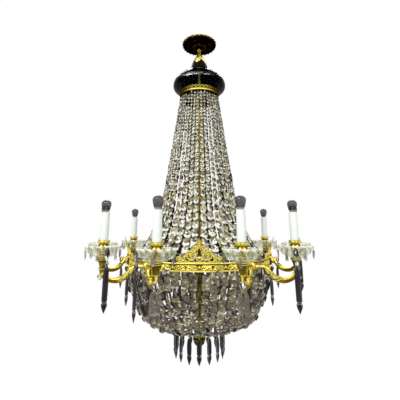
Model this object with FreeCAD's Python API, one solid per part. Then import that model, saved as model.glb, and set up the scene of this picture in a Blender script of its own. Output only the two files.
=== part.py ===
"""Tent and basket chandelier with ten candle arms.

Millimetres, +Z up. The origin is the middle of the mounting bar's top face,
which lies against the ceiling. The front, where the camera stands, is -Y.
"""
import FreeCAD, Part
import math
import os

# Driving dimensions

# General
running_gap = 0.05          # radial play of a thread or a turning fit
loose_gap = 0.3             # play beside a piece that is only set in place
wire_bore_radius = 3.2      # hole for the lamp wires in each threaded tube
thread_radius = 5.0         # ten millimetre lamp tube

# Ceiling fixing
bar_length = 130.0
bar_width = 22.0
bar_thickness = 3.0
bar_hole_spacing = 89.0
bar_hole_radius = 2.4
nut_across_flats = 17.0
nut_height = 6.0
nipple_length = 34.0

# Ceiling canopy
canopy_radius = 83.0
canopy_depth = 26.0
canopy_wall = 1.6
canopy_lobes = 24
canopy_notch_radius = 3.6
canopy_boss_rim = 4.0       # of the canopy's boss, round the ball's flat

# Ball, eye, link and loop that the chandelier hangs on
ball_radius = 9.5
ball_flat_radius = 6.5
hook_wire_radius = 2.0
hook_ring_radius = 6.0
hook_play = 0.2
link_straight = 3.0
eye_gap = 0.5               # between the ball and the eye's ring
eye_stem_radius = 2.6
loop_boss_radius = 7.0
loop_boss_length = 20.0
loop_thread_depth = 14.0

# Crown
cap_wall = 1.6
cap_height = 40.0
cap_tip_height = 6.0        # the straight foot of the cap
cap_mouth_gap = 2.2
neck_wall = 2.0
neck_waist_radius = 36.0
neck_foot_radius = 44.0
neck_waist_drop = 60.0
neck_foot_drop = 19.0
neck_top_gap = 2.5          # below the cap's top
dome_radius = 122.0
dome_height = 108.0
dome_wall = 3.0
dome_collar = 6.0           # width and drop of the shoulder at the dome's mouth
crown_band_radius = 88.0
crown_band_height = 28.0
crown_band_wall = 3.2
crown_lip = 2.0
crown_lip_height = 4.0
crown_flange_width = 10.0
crown_flange_thickness = 3.0
crown_plate_bars = 5
crown_plate_thickness = 4.0
crown_plate_hub_radius = 16.0
crown_plate_bar_width = 14.0
baluster_radius = 11.0
baluster_length = 66.0
baluster_drop = 10.0        # below the dome's mouth

# Tent of crystal strands
tent_strand_count = 40
tent_height = 697.0
tent_sizes = ((16, 15.5), (6, 19.4), (3, 23.0), (9, 30.5))      # crystals and their pitch, from the top
tent_cuts = (0.78, 0.91)    # shares of a strand at which its chains meet
tent_straight_part = 0.53   # of the tent's spread, the rest flares at its foot
tent_flare_power = 9
crystal_width_share = 0.72  # width of a crystal to its pitch on the strand
crystal_thickness_share = 0.36
crystal_gap = 1.5           # least gap between two strands' crystals
link_width = 2.4            # brass pin between two crystals

# Ring
ring_radius = 278.0
ring_height = 28.0
ring_wall = 3.0
ring_lip = 3.0
ring_lip_height = 5.0
ring_flange_width = 15.0
ring_flange_thickness = 3.0
spider_bars = 5
spider_bar_width = 25.0
spider_bar_thickness = 4.0
hub_radius = 40.0
hub_height = 29.0
hub_wall = 2.0

# Pierced crests on the ring, each over a bar of the spider
crest_count = 5
crest_width = 152.0
crest_height = 82.0
crest_thickness = 3.0
crest_lean = 22.0           # of its tip, out from its foot

# Arms, which leave the ring in pairs
arm_count = 10
arm_circle_radius = 400.0
arm_tube_radius = 8.0
arm_end_bend_radius = 30.0
arm_end_bend_angle = 55.0
arm_belly_radius = 55.0
arm_root_slope = 60.0
arm_root_bend_radius = 34.0
rosette_radius = 15.0
rosette_thickness = 6.0
root_ball_radius = 12.0
root_ball_seat = 11.0       # from the ball's centre to the rosette's face
root_ball_flat = 10.4       # from the ball's centre to the end of each arm

# Candle stack on each arm
candle_rise = 64.0          # the candle's foot above the ring
trumpet_radius = 18.0
trumpet_height = 38.0
bobeche_radius = 60.0
bobeche_depth = 37.0
bobeche_wall = 3.0
bobeche_floor_radius = 17.0
cup_height = 52.0
cup_foot_radius = 13.0
cup_stem_radius = 8.0
cup_socket_depth = 5.0
cup_wall = 2.4
candle_radius = 14.0
candle_wall = 1.4
candle_length = 98.0
socket_radius = 11.0
socket_rim_drop = 3.0
bulb_base_radius = 7.0
bulb_base_length = 23.0
bulb_seat_gap = 1.0         # between a bulb and its holder, over the rim and under the base
bulb_radius = 17.0
bulb_height = 44.0

# Crystals that hang on each dripping pan
rim_hook_count = 6
rim_hook_inset = 2.5
rim_hook_spacing = 20.0     # least turn between a long spear and a drop
gem_length = 40.0
gem_width = 15.0
bead_size = 16.0
long_spear_length = 138.0
long_spear_width = 19.0
long_spear_thickness = 9.0
drop_length = 45.0
drop_width = 13.0
drop_thickness = 8.0
belly_hook_turn = 42.0      # place of the short spear under an arm, from its lowest point
# Where the long spears hang on each pan, as turns from the pan's outer side. The photo's
# dressing is uneven, and none hangs over the arm, which leaves about 40 degrees from 180.
pan_spear_turns = (
    (-72,), (), (-70,), (60,), (20,),
    (0,), (-10,), (-20,), (-90,), (85,),
)
# The two front arms have a bead under their end instead, with a pair of short spears on a bar.
pair_arms = (0, 1)
pair_hook_turn = 42.0       # place of the bead on the arm's end bend, from level
pair_spacing = 17.5
pair_bar_height = 2.4

# Basket of crystal strands
basket_strand_count = 56
basket_depth = 235.0
basket_sizes = ((3, 25.0), (3, 22.5), (3, 20.0), (3, 18.0), (3, 15.5), (3, 13.0))
basket_width_share = 0.7
basket_lean = 45.0          # the crystals' thickness points out and down
basket_cuts = (0.25, 0.62)

# Stem, bottom ring and finial
sleeve_radius = 7.2
bottom_ring_radius = 94.0
bottom_ring_width = 8.0
bottom_ring_height = 6.0
bottom_bar_width = 12.0
bottom_bars = 4
bottom_hub_radius = 14.0
finial_radius = 24.0
finial_length = 68.0
finial_bore_depth = 26.0
rod_tail = 24.0

# Spears below the basket
spear_count = 16
spear_length = 86.0
spear_width = 17.0
spear_thickness = 9.0
spear_cap_width = 5.0
spear_cap_length = 8.0
hook_pin_radius = 0.9
hook_pin_rise = 2.0         # above the ears' foot
spear_eye_rise = 2.4        # from the pin to the cap's top
hook_ear_thickness = 1.4
hook_ear_width = 4.0
hook_ear_drop = 6.0

# Levels, from the ceiling down

bar_bottom = -bar_thickness
canopy_foot = -canopy_depth
ball_centre = canopy_foot - math.sqrt(ball_radius ** 2 - ball_flat_radius ** 2)
ball_bottom = ball_centre - ball_radius
eye_centre = ball_bottom - eye_gap - hook_ring_radius - hook_wire_radius
eye_seat = eye_centre - hook_ring_radius
link_top = eye_seat + 2 * hook_wire_radius + hook_play
link_bottom = link_top - 2 * hook_ring_radius - link_straight
loop_top = link_bottom + 2 * hook_wire_radius + hook_play
loop_centre = loop_top - hook_ring_radius
cap_top = link_bottom - hook_wire_radius - cap_mouth_gap
cap_foot = cap_top - cap_height
loop_boss_top = loop_centre - hook_ring_radius
loop_boss_foot = loop_boss_top - loop_boss_length
neck_top = cap_top - neck_top_gap
neck_waist = cap_top - neck_waist_drop
neck_foot = neck_waist - neck_foot_drop
dome_top = neck_foot
dome_foot = dome_top - dome_height
crown_foot = dome_foot - crown_band_height
crown_plate_top = dome_foot - crown_flange_thickness
baluster_top = dome_top - baluster_drop
ring_top = crown_foot - tent_height
ring_foot = ring_top - ring_height
spider_top = ring_top - ring_flange_thickness
spider_foot = spider_top - spider_bar_thickness
hub_foot = spider_foot - hub_height
candle_foot = ring_top + candle_rise
candle_top = candle_foot + candle_length
cup_foot = candle_foot + cup_socket_depth - cup_height
pan_foot = cup_foot - bobeche_wall
pan_rim = pan_foot + bobeche_depth
trumpet_foot = pan_foot - trumpet_height
bottom_ring_top = ring_foot - basket_depth
bottom_ring_foot = bottom_ring_top - bottom_ring_height
rod_top = loop_boss_foot + loop_thread_depth
rod_foot = bottom_ring_foot - rod_tail
hook_pin_level = bottom_ring_foot - hook_ear_drop + hook_pin_rise
spear_cap_top = hook_pin_level + spear_eye_rise
spear_top = spear_cap_top - spear_cap_length

rod_bore_radius = thread_radius + running_gap

# Helpers


def around(shape, angle):
    """The shape turned about the stem, by degrees from above."""
    copy = shape.copy()
    copy.rotate(FreeCAD.Vector(0, 0, 0), FreeCAD.Vector(0, 0, 1), angle)
    return copy


def arm_angle(index):
    """Turn that takes an outward piece built along +X to its arm."""
    step = 360.0 / arm_count
    return (index - 0.5) * step - 90.0


def on_arms(shape):
    return [around(shape, arm_angle(index)) for index in range(arm_count)]


def on_circle(shape, count, first=0.0):
    return [around(shape, first + 360.0 * index / count) for index in range(count)]


def at(shape, x, y=0.0, z=0.0):
    """The shape moved from the origin."""
    moved = shape.copy()
    moved.translate(FreeCAD.Vector(x, y, z))
    return moved


def turned(profile):
    """Solid of revolution about Z from a closed list of (radius, height)."""
    points = [FreeCAD.Vector(r, 0, z) for r, z in profile]
    face = Part.Face(Part.makePolygon(points + points[:1]))
    return face.revolve(FreeCAD.Vector(0, 0, 0), FreeCAD.Vector(0, 0, 1), 360)


def inset(outline, wall):
    """The outline moved inward, towards the axis side, by the wall."""
    moved = []
    last = len(outline) - 1
    for index, (r, z) in enumerate(outline):
        before = outline[max(index - 1, 0)]
        after = outline[min(index + 1, last)]
        run = math.hypot(after[0] - before[0], after[1] - before[1])
        normal_r = (after[1] - before[1]) / run
        normal_z = -(after[0] - before[0]) / run
        moved.append((r + wall * normal_r, z + wall * normal_z))
    return moved


def tube(outer, inner, bottom, top):
    """Upright tube between two levels."""
    body = Part.makeCylinder(outer, top - bottom)
    body = body.cut(Part.makeCylinder(inner, top - bottom))
    return at(body, 0, 0, bottom)


def rod(radius, bottom, top):
    return at(Part.makeCylinder(radius, top - bottom), 0, 0, bottom)


def block(length, width, bottom, top, start=None):
    """Flat bar along X, centred, or from a start."""
    low = -length / 2 if start is None else start
    corner = FreeCAD.Vector(low, -width / 2, bottom)
    return Part.makeBox(length, width, top - bottom, corner)


def wire_ring(centre, straight, across_y):
    """Closed wire loop in the XZ plane, or the YZ plane, with straight sides."""
    upper = Part.makeTorus(hook_ring_radius, hook_wire_radius)
    upper.rotate(FreeCAD.Vector(0, 0, 0), FreeCAD.Vector(1, 0, 0), 90)
    if straight > 0:
        size = 2 * (hook_ring_radius + hook_wire_radius)
        keep = Part.makeBox(size, size, size, FreeCAD.Vector(-size / 2, -size / 2, 0))
        top_half = at(upper.common(keep), 0, 0, straight / 2)
        bottom_half = at(upper.cut(keep), 0, 0, -straight / 2)
        side = rod(hook_wire_radius, -straight / 2, straight / 2)
        left = at(side, -hook_ring_radius)
        right = at(side, hook_ring_radius)
        upper = top_half.fuse([left, right, bottom_half]).removeSplitter()
    if not across_y:
        upper = around(upper, 90)
    return at(upper, 0, 0, centre)


def faceted(stations, lean=0.0):
    """Flat-faced solid through upright rectangles in the XZ plane.

    Each station is (x, z, width along Y, thickness). The thickness points
    along +X, turned downward by the lean.
    """
    out_x = math.cos(math.radians(lean))
    out_z = -math.sin(math.radians(lean))
    rings = []
    for x, z, width, thickness in stations:
        corners = []
        for side, depth in ((-1, -1), (1, -1), (1, 1), (-1, 1)):
            half = depth * thickness / 2
            corners.append(FreeCAD.Vector(x + half * out_x, side * width / 2, z + half * out_z))
        rings.append(corners)
    faces = []
    for upper, lower in zip(rings[:-1], rings[1:]):
        for index in range(4):
            after = (index + 1) % 4
            loop = [upper[index], upper[after], lower[after], lower[index]]
            faces.append(Part.Face(Part.makePolygon(loop + loop[:1])))
    for ring in (rings[0], rings[-1]):
        faces.append(Part.Face(Part.makePolygon(ring + ring[:1])))
    solid = Part.makeSolid(Part.makeShell(faces))
    if solid.Volume < 0:
        solid.reverse()
    return solid


def path_length(path):
    return sum(math.dist(a, b) for a, b in zip(path[:-1], path[1:]))


def point_on(path, distance):
    """Point of a list of (x, z) at a distance from its start."""
    for start, end in zip(path[:-1], path[1:]):
        run = math.dist(start, end)
        if distance <= run:
            share = distance / run
            return (start[0] + (end[0] - start[0]) * share, start[1] + (end[1] - start[1]) * share)
        distance -= run
    return path[-1]


def strand_stations(path, sizes, strands, width_share):
    """Stations of a chain: a pin, a crystal's middle, a pin, and so on."""
    pitches = []
    for crystals, pitch in sizes:
        pitches += [pitch] * crystals
    stretch = path_length(path) / sum(pitches)
    stations = [(*path[0], link_width, link_width)]
    distance = 0.0
    for pitch in pitches:
        length = pitch * stretch
        x, z = point_on(path, distance + length / 2)
        thickness = pitch * crystal_thickness_share
        room = 2 * math.pi * (x - thickness / 2) / strands - crystal_gap
        stations.append((x, z, min(pitch * width_share, room), thickness))
        distance += length
        stations.append((*point_on(path, distance), link_width, link_width))
    return stations


def split_strand(stations, shares, lean=0.0):
    """The chain as shorter chains that meet pin to pin."""
    crystals = (len(stations) - 1) // 2
    cuts = [0] + [2 * round(crystals * share) for share in shares] + [len(stations) - 1]
    return [faceted(stations[a:b + 1], lean) for a, b in zip(cuts[:-1], cuts[1:])]


def save(name, shapes):
    """Write one node: a piece, or a group of separate pieces."""
    if not isinstance(shapes, list):
        shapes = [shapes]
    whole = shapes[0] if len(shapes) == 1 else Part.makeCompound(shapes)
    for shape in shapes:
        if not shape.isValid() or shape.Volume <= 0:
            print("bad solid in", name)
    whole.exportStep("parts/" + name + ".step")
    print(name, len(whole.Solids), "solids, cm3:", round(whole.Volume / 1000, 2))


# Ceiling fixing


def mounting_bar():
    bar = block(bar_length, bar_width, bar_bottom, 0)
    for side in (-1, 1):
        bar = bar.cut(at(rod(bar_hole_radius, bar_bottom, 0), side * bar_hole_spacing / 2))
    return bar.cut(rod(rod_bore_radius, bar_bottom, 0))


def mounting_nipple():
    return tube(thread_radius, wire_bore_radius, -nipple_length, 0)


def lock_nut():
    points = []
    corner_radius = nut_across_flats / 2 / math.cos(math.radians(30))
    for index in range(6):
        turn = math.radians(60 * index)
        points.append(FreeCAD.Vector(corner_radius * math.cos(turn), corner_radius * math.sin(turn), 0))
    face = Part.Face(Part.makePolygon(points + points[:1]))
    nut = at(face.extrude(FreeCAD.Vector(0, 0, nut_height)), 0, 0, bar_bottom - nut_height)
    return nut.cut(rod(rod_bore_radius, bar_bottom - nut_height, bar_bottom))


def ceiling_canopy():
    """Shallow cast rosette with a lobed rim and a boss in its middle."""
    shares = ((0.15, 0.15), (0.45, 0.31), (0.72, 0.5), (0.92, 0.7), (1.0, 0.92), (1.0, 1.0))
    outline = [(rod_bore_radius, canopy_foot), (ball_flat_radius + canopy_boss_rim, canopy_foot)]
    outline += [(canopy_radius * width, canopy_foot + canopy_depth * rise) for width, rise in shares]
    inner = [(max(r - canopy_wall, rod_bore_radius), z + canopy_wall) for r, z in outline[:-1]]
    inner.append((canopy_radius - canopy_wall, 0))
    canopy = turned(outline + inner[::-1])
    notch = at(Part.makeCylinder(canopy_notch_radius, canopy_depth), canopy_radius + 1, 0, canopy_foot)
    return canopy.cut(on_circle(notch, canopy_lobes))


def canopy_ball():
    ball = at(Part.makeSphere(ball_radius), 0, 0, ball_centre)
    size = 2 * ball_radius
    ball = ball.cut(Part.makeBox(size, size, size, FreeCAD.Vector(-ball_radius, -ball_radius, canopy_foot)))
    ball = ball.cut(rod(rod_bore_radius, -nipple_length - loose_gap, canopy_foot))
    return ball.cut(rod(eye_stem_radius + running_gap, ball_bottom - 1, -nipple_length))


def hanging_eye():
    """Closed eye whose stem is screwed up into the ball."""
    ring = wire_ring(eye_centre, 0, True)
    stem_foot = eye_centre + hook_ring_radius
    return ring.fuse(rod(eye_stem_radius, stem_foot, -nipple_length - 2 * loose_gap))


def hanging_link():
    centre = (link_top + link_bottom) / 2
    return wire_ring(centre, link_straight, False)


# Crown


def crown_loop():
    """Loop on a boss that is screwed on the top of the stem."""
    ring = wire_ring(loop_centre, 0, True)
    boss = rod(loop_boss_radius, loop_boss_foot, loop_boss_top)
    boss = boss.cut(rod(rod_bore_radius, loop_boss_foot, rod_top + loose_gap))
    return ring.fuse(boss)


def neck_outline():
    """Outer side of the bell-shaped neck, from its top down to its waist."""
    shares = ((0.0, 0.44), (0.2, 0.66), (0.6, 0.86), (1.0, 1.0))
    fall = neck_top - neck_waist
    return [(neck_waist_radius * width, neck_top - fall * drop) for drop, width in shares]


def neck_radius(level):
    """Outer radius of the neck between its top and its waist."""
    outline = neck_outline()
    for (upper, top), (lower, foot) in zip(outline[:-1], outline[1:]):
        if level >= foot:
            share = max((top - level) / (top - foot), 0.0)
            return upper + (lower - upper) * share
    return neck_waist_radius


def leaf_cap():
    """Bell of leaves that lies over the top of the neck."""
    skin = cap_wall + loose_gap
    bend = neck_outline()[1][1]
    levels = (cap_top, neck_top, bend, cap_foot + cap_tip_height, cap_foot)
    outline = [(neck_radius(level) + skin, level) for level in levels]
    inner = [(r - cap_wall, z) for r, z in outline]
    return turned(outline + inner[::-1])


def crown_neck():
    outline = neck_outline() + [(neck_foot_radius, neck_foot)]
    inner = [(r - neck_wall, z) for r, z in outline]
    return turned(outline + inner[::-1])


def dome_outline():
    """Outer side of the dome, from its mouth down to its foot."""
    shares = ((0.18, 0.66), (0.31, 0.80), (0.42, 0.90), (0.54, 0.97), (0.68, 1.0), (0.82, 0.975), (0.92, 0.88))
    outline = [(neck_foot_radius, dome_top), (neck_foot_radius + dome_collar, dome_top - dome_collar)]
    for drop, width in shares:
        outline.append((dome_radius * width, dome_top - dome_height * drop))
    outline.append((crown_band_radius + crown_lip, dome_foot))
    return outline


def crown_dome():
    outline = dome_outline()
    inner = inset(outline, dome_wall)
    inner[0] = (outline[0][0] - dome_wall, dome_top)
    inner[-1] = (outline[-1][0] - dome_wall, dome_foot)
    return turned(outline + inner[::-1])


def crown_baluster():
    """Turned sleeve that dresses the stem inside the dome."""
    foot = baluster_top - baluster_length
    shares = ((0.0, 0.7), (0.08, 1.0), (0.16, 0.7), (0.3, 0.6), (0.55, 1.0), (0.75, 0.75), (0.85, 1.0), (1.0, 0.8))
    outline = [(baluster_radius * width, baluster_top - baluster_length * drop) for drop, width in shares]
    outline.append((rod_bore_radius, foot))
    outline.append((rod_bore_radius, baluster_top))
    return turned(outline)


def crown_plate():
    """Hub with flat bars that carries the crown band on the stem."""
    foot = crown_plate_top - crown_plate_thickness
    plate = rod(crown_plate_hub_radius, foot, crown_plate_top)
    reach = crown_band_radius - crown_band_wall - loose_gap
    bar = block(reach, crown_plate_bar_width, foot, crown_plate_top, 0.0)
    plate = plate.fuse(on_circle(bar, crown_plate_bars, 90))
    return plate.cut(rod(rod_bore_radius, foot, crown_plate_top))


def crown_band():
    """Embossed band with an inner flange that rests on the plate's bars."""
    inner = crown_band_radius - crown_band_wall
    flange = inner - crown_flange_width
    return turned([
        (flange, dome_foot),
        (crown_band_radius + crown_lip, dome_foot),
        (crown_band_radius + crown_lip, dome_foot - crown_lip_height),
        (crown_band_radius, dome_foot - crown_lip_height - crown_lip),
        (crown_band_radius, crown_foot),
        (inner, crown_foot),
        (inner, crown_plate_top),
        (flange, crown_plate_top),
    ])


# Stem


def central_rod():
    return tube(thread_radius, wire_bore_radius, rod_foot, rod_top)


def rod_sleeve():
    """Brass tube over the stem between the hub and the bottom ring."""
    return tube(sleeve_radius, rod_bore_radius, bottom_ring_top, hub_foot)


# Ring


def ring_spider():
    """Flat bars on a disc: carries the ring on the stem."""
    spider = rod(hub_radius, spider_foot, spider_top)
    reach = ring_radius - ring_wall - loose_gap
    bar = block(reach, spider_bar_width, spider_foot, spider_top, 0.0)
    spider = spider.fuse(on_circle(bar, spider_bars, -90))
    return spider.cut(rod(rod_bore_radius, spider_foot, spider_top))


def wiring_hub():
    """Cup under the spider where the wires of the arms meet."""
    body = rod(hub_radius, hub_foot, spider_foot)
    body = body.cut(rod(hub_radius - hub_wall, hub_foot + hub_wall, spider_foot))
    return body.cut(rod(rod_bore_radius, hub_foot, hub_foot + hub_wall))


def ring_band():
    """Rolled band with two lips, and an inner flange for the strands."""
    inner = ring_radius - ring_wall
    flange = inner - ring_flange_width
    lip = ring_radius + ring_lip
    return turned([
        (flange, ring_top),
        (lip, ring_top),
        (lip, ring_top - ring_lip_height),
        (ring_radius, ring_top - ring_lip_height - ring_lip),
        (ring_radius, ring_foot + ring_lip_height + ring_lip),
        (lip, ring_foot + ring_lip_height),
        (lip, ring_foot),
        (inner, ring_foot),
        (inner, spider_top),
        (flange, spider_top),
    ])


def crest_outline():
    """Half of the crest's edge, from its middle tip out and down, as (width, height)."""
    half = crest_width / 2
    shares = (
        (0.0, 1.0), (0.10, 0.80), (0.20, 0.74), (0.24, 0.62), (0.38, 0.60), (0.46, 0.46),
        (0.60, 0.44), (0.72, 0.28), (0.88, 0.32), (1.0, 0.18), (0.94, 0.0),
    )
    return [(half * width, crest_height * height) for width, height in shares]


def crest():
    """Pierced crest, bent to the ring and leaning out, standing on its top at +X."""
    right = crest_outline()
    left = [(-width, height) for width, height in right[:0:-1]]
    points = [FreeCAD.Vector(0, width, ring_top + height) for width, height in right + left]
    plate = Part.Face(Part.makePolygon(points + points[:1]))
    plate = plate.extrude(FreeCAD.Vector(2 * ring_radius, 0, 0))
    foot = ring_radius + ring_lip
    wall = Part.makeCone(foot, foot + crest_lean, crest_height)
    hollow = Part.makeCone(foot - crest_thickness, foot + crest_lean - crest_thickness, crest_height)
    plate = plate.common(at(wall.cut(hollow), 0, 0, ring_top))
    holes = ((0.0, 0.40, 0.11), (0.30, 0.26, 0.1), (-0.30, 0.26, 0.1), (0.62, 0.16, 0.073), (-0.62, 0.16, 0.073))
    for width, height, size in holes:
        hole = Part.makeCylinder(crest_height * size, 2 * ring_radius, FreeCAD.Vector(), FreeCAD.Vector(1, 0, 0))
        plate = plate.cut(at(hole, 0, crest_width / 2 * width, ring_top + crest_height * height))
    return plate


# Arms


def root_radius():
    """Distance of the ball where two arms meet from the stem."""
    return ring_radius + ring_lip + rosette_thickness + root_ball_seat


def arm_line():
    """Distance from a candle to its root ball in plan, and the turn of that line from the stem's direction."""
    half = math.radians(180.0 / arm_count)
    inward = arm_circle_radius - root_radius() * math.cos(half)
    sideways = root_radius() * math.sin(half)
    return math.hypot(inward, sideways), math.degrees(math.atan2(sideways, inward))


def on_roots(shape):
    """The shape, built outward along +X, between each pair of arms."""
    pairs = arm_count // 2
    return on_circle(shape, pairs, -90 + 180.0 / pairs)


def along_arms(shape):
    """The shape, built from the candle on the Z axis inward along -X, on each arm's own line."""
    _, turn = arm_line()
    pieces = []
    for index in range(arm_count):
        side = 1 if index % 2 == 0 else -1
        pieces.append(around(at(around(shape, side * turn), arm_circle_radius), arm_angle(index)))
    return pieces


def arm_belly_centre():
    """Centre of the arm's low bend in the XZ plane, with the candle on the Z axis."""
    turn = math.radians(arm_end_bend_angle)
    spread = arm_belly_radius - arm_end_bend_radius
    return (-arm_end_bend_radius - spread * math.cos(turn), trumpet_foot + spread * math.sin(turn))


def arm_path():
    """Centre line of an arm in the XZ plane, as edges from its end to the root, and the root's level."""
    first_centre = (-arm_end_bend_radius, trumpet_foot)
    first_turn = math.radians(arm_end_bend_angle)
    joint = (
        first_centre[0] + arm_end_bend_radius * math.cos(first_turn),
        first_centre[1] - arm_end_bend_radius * math.sin(first_turn),
    )
    belly_centre = arm_belly_centre()
    slope = math.radians(arm_root_slope)
    lift = (
        belly_centre[0] - arm_belly_radius * math.sin(slope),
        belly_centre[1] - arm_belly_radius * math.cos(slope),
    )
    root_centre = (
        lift[0] - arm_root_bend_radius * math.sin(slope),
        lift[1] - arm_root_bend_radius * math.cos(slope),
    )
    root = (root_centre[0], root_centre[1] + arm_root_bend_radius)

    def arc(start, centre, radius, middle_angle, finish):
        middle = (centre[0] + radius * math.cos(middle_angle), centre[1] + radius * math.sin(middle_angle))
        three = [FreeCAD.Vector(x, 0, z) for x, z in (start, middle, finish)]
        return Part.Arc(*three).toShape()

    belly_middle = (-first_turn - (math.pi / 2 + slope)) / 2
    root_middle = math.pi / 2 - slope / 2
    first = arc((0, trumpet_foot), first_centre, arm_end_bend_radius, -first_turn / 2, joint)
    belly = arc(joint, belly_centre, arm_belly_radius, belly_middle, lift)
    last = arc(lift, root_centre, arm_root_bend_radius, root_middle, root)
    reach, _ = arm_line()
    finish = FreeCAD.Vector(root_ball_flat - reach, 0, root[1])
    straight = Part.LineSegment(FreeCAD.Vector(root[0], 0, root[1]), finish).toShape()
    return [first, belly, last, straight], root[1]


def swept(edges, radius):
    path = Part.Wire(edges)
    start = edges[0].Vertexes[0].Point
    circle = Part.Wire(Part.makeCircle(radius, start, FreeCAD.Vector(0, 0, 1)))
    return path.makePipeShell([circle], True, False)


def arm():
    edges, _ = arm_path()
    return swept(edges, arm_tube_radius).cut(swept(edges, wire_bore_radius))


def arm_root():
    """Round boss on the ring, and the ball on it that carries two arms."""
    _, level = arm_path()
    _, turn = arm_line()
    seat = ring_radius + ring_lip
    shares = ((1.0, 0.4), (0.8, 1.0), (0.0, 1.0))
    rim = [(rosette_radius * width, rosette_thickness * rise) for width, rise in shares]
    boss = turned([(0, -ring_lip), (rosette_radius, -ring_lip)] + rim)
    boss.rotate(FreeCAD.Vector(0, 0, 0), FreeCAD.Vector(0, 1, 0), 90)
    boss = at(boss, seat, 0, level)
    ring_side = at(Part.makeCylinder(seat + loose_gap, 4 * rosette_radius), 0, 0, level - 2 * rosette_radius)
    boss = boss.cut(ring_side)
    centre = root_radius()
    size = 2 * root_ball_radius
    root = boss.fuse(at(Part.makeSphere(root_ball_radius), centre, 0, level))
    bore = Part.makeCylinder(wire_bore_radius, size, FreeCAD.Vector(), FreeCAD.Vector(1, 0, 0))
    beyond = Part.makeBox(size, size, size, FreeCAD.Vector(root_ball_flat, -size / 2, -size / 2))
    for side in (-1, 1):
        lean = side * (turn + 180.0 / arm_count)
        root = root.cut(at(around(beyond, lean), centre, 0, level))
        root = root.cut(at(around(bore, lean), centre, 0, level))
    return root.cut(at(bore, centre - size, 0, level))


# Candle stack, built on the Z axis and moved out to the arm


def on_candles(shape):
    return on_arms(at(shape, arm_circle_radius))


def trumpet_cup():
    """Flared cup between the arm's end and the dripping pan."""
    shares = ((0.0, 0.44), (0.3, 0.5), (0.6, 0.64), (0.82, 0.86), (0.9, 1.0), (1.0, 1.0))
    outline = [(trumpet_radius * width, trumpet_foot + trumpet_height * rise) for rise, width in shares]
    return turned([(wire_bore_radius, trumpet_foot)] + outline + [(wire_bore_radius, pan_foot)])


def pan_outline():
    """Under side of the dripping pan, from its floor out to its rim."""
    rise = bobeche_depth
    span = bobeche_radius - bobeche_floor_radius
    outline = [(bobeche_floor_radius, pan_foot)]
    for out, up in ((0.35, 0.06), (0.65, 0.30), (0.86, 0.62), (1.0, 1.0)):
        outline.append((bobeche_floor_radius + span * out, pan_foot + rise * up))
    return outline


def bobeche():
    """Round dish of cut glass."""
    under = pan_outline()
    inner = [(r, z + bobeche_wall) for r, z in under[:-1]]
    inner.append((under[-1][0] - bobeche_wall, pan_rim))
    inner[0] = (bobeche_floor_radius, pan_foot + bobeche_wall)
    centre = wire_bore_radius + 2
    return turned([(centre, pan_foot)] + under + inner[::-1] + [(centre, pan_foot + bobeche_wall)])


def candle_cup():
    """Turned cup that stands in the pan and holds the candle."""
    outer = candle_radius + loose_gap + cup_wall
    top = cup_foot + cup_height
    foot = ((0.0, cup_foot_radius), (0.1, cup_foot_radius), (0.2, cup_stem_radius), (0.4, cup_stem_radius))
    bowl = ((0.55, 0.88), (0.75, 1.0), (0.85, 0.94), (0.92, 1.09), (1.0, 1.09))
    shares = list(foot) + [(rise, outer * width) for rise, width in bowl]
    outline = [(radius, cup_foot + cup_height * rise) for rise, radius in shares]
    body = turned([(wire_bore_radius, cup_foot)] + outline + [(wire_bore_radius, top)])
    return body.cut(rod(candle_radius + loose_gap, candle_foot, top))


def candle_cover():
    return tube(candle_radius, candle_radius - candle_wall, candle_foot, candle_top)


def lamp_socket():
    """Lamp holder inside the candle, open at its top for the bulb's screw."""
    top = candle_top - socket_rim_drop
    body = rod(socket_radius, candle_foot, top)
    pocket_foot = candle_top - bulb_base_length - bulb_seat_gap
    body = body.cut(rod(bulb_base_radius + running_gap, pocket_foot, top))
    return body.cut(rod(wire_bore_radius, candle_foot, pocket_foot))


def bulb():
    """Screw base with a tall glass on it that is widest near its round top."""
    neck = candle_top - socket_rim_drop + bulb_seat_gap
    top = candle_top + bulb_height
    height = top - neck
    outline = [(bulb_base_radius, candle_top - bulb_base_length), (bulb_base_radius, neck)]
    shares = ((0.06, 0.56), (0.12, 0.72), (0.3, 0.88), (0.5, 0.98), (0.66, 1.0), (0.8, 0.86), (0.92, 0.54))
    for rise, width in shares:
        outline.append((bulb_radius * width, neck + height * rise))
    outline.append((0, top))
    return turned([(0, candle_top - bulb_base_length)] + outline)


# Crystals that hang on the dripping pans


def spear_stations(x, top, length, width, thickness):
    """Long prism with a notch above its pointed tip."""
    shares = ((0.0, 0.2), (0.1, 0.86), (0.35, 1.0), (0.68, 0.86), (0.71, 0.64), (0.76, 0.9), (1.0, 0.06))
    return [(x, top - length * drop, width * size, thickness * size) for drop, size in shares]


def pan_under(radius):
    """Level of the pan's under side at a radius."""
    under = pan_outline()
    for (r0, z0), (r1, z1) in zip(under[:-1], under[1:]):
        if radius <= r1:
            return z0 + (z1 - z0) * (radius - r0) / (r1 - r0)
    return pan_rim


def rim_hook():
    """Radius and level of the topmost point of a crystal on a pan."""
    radius = bobeche_radius - rim_hook_inset
    return radius, pan_under(radius - link_width / 2) - loose_gap


def rim_spear():
    """Almond, bead and long spear, pin to pin, below the pan's rim."""
    x, top = rim_hook()
    gem = [(x, top, link_width, link_width), (x, top - gem_length / 2, gem_width, gem_width / 2),
           (x, top - gem_length, link_width, link_width)]
    bead_top = top - gem_length
    bead = [(x, bead_top - bead_size / 2, bead_size * 0.9, bead_size * 0.9),
            (x, bead_top - bead_size, link_width, link_width)]
    spear = spear_stations(x, bead_top - bead_size, long_spear_length, long_spear_width, long_spear_thickness)
    return faceted(gem + bead + spear[1:])


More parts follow.
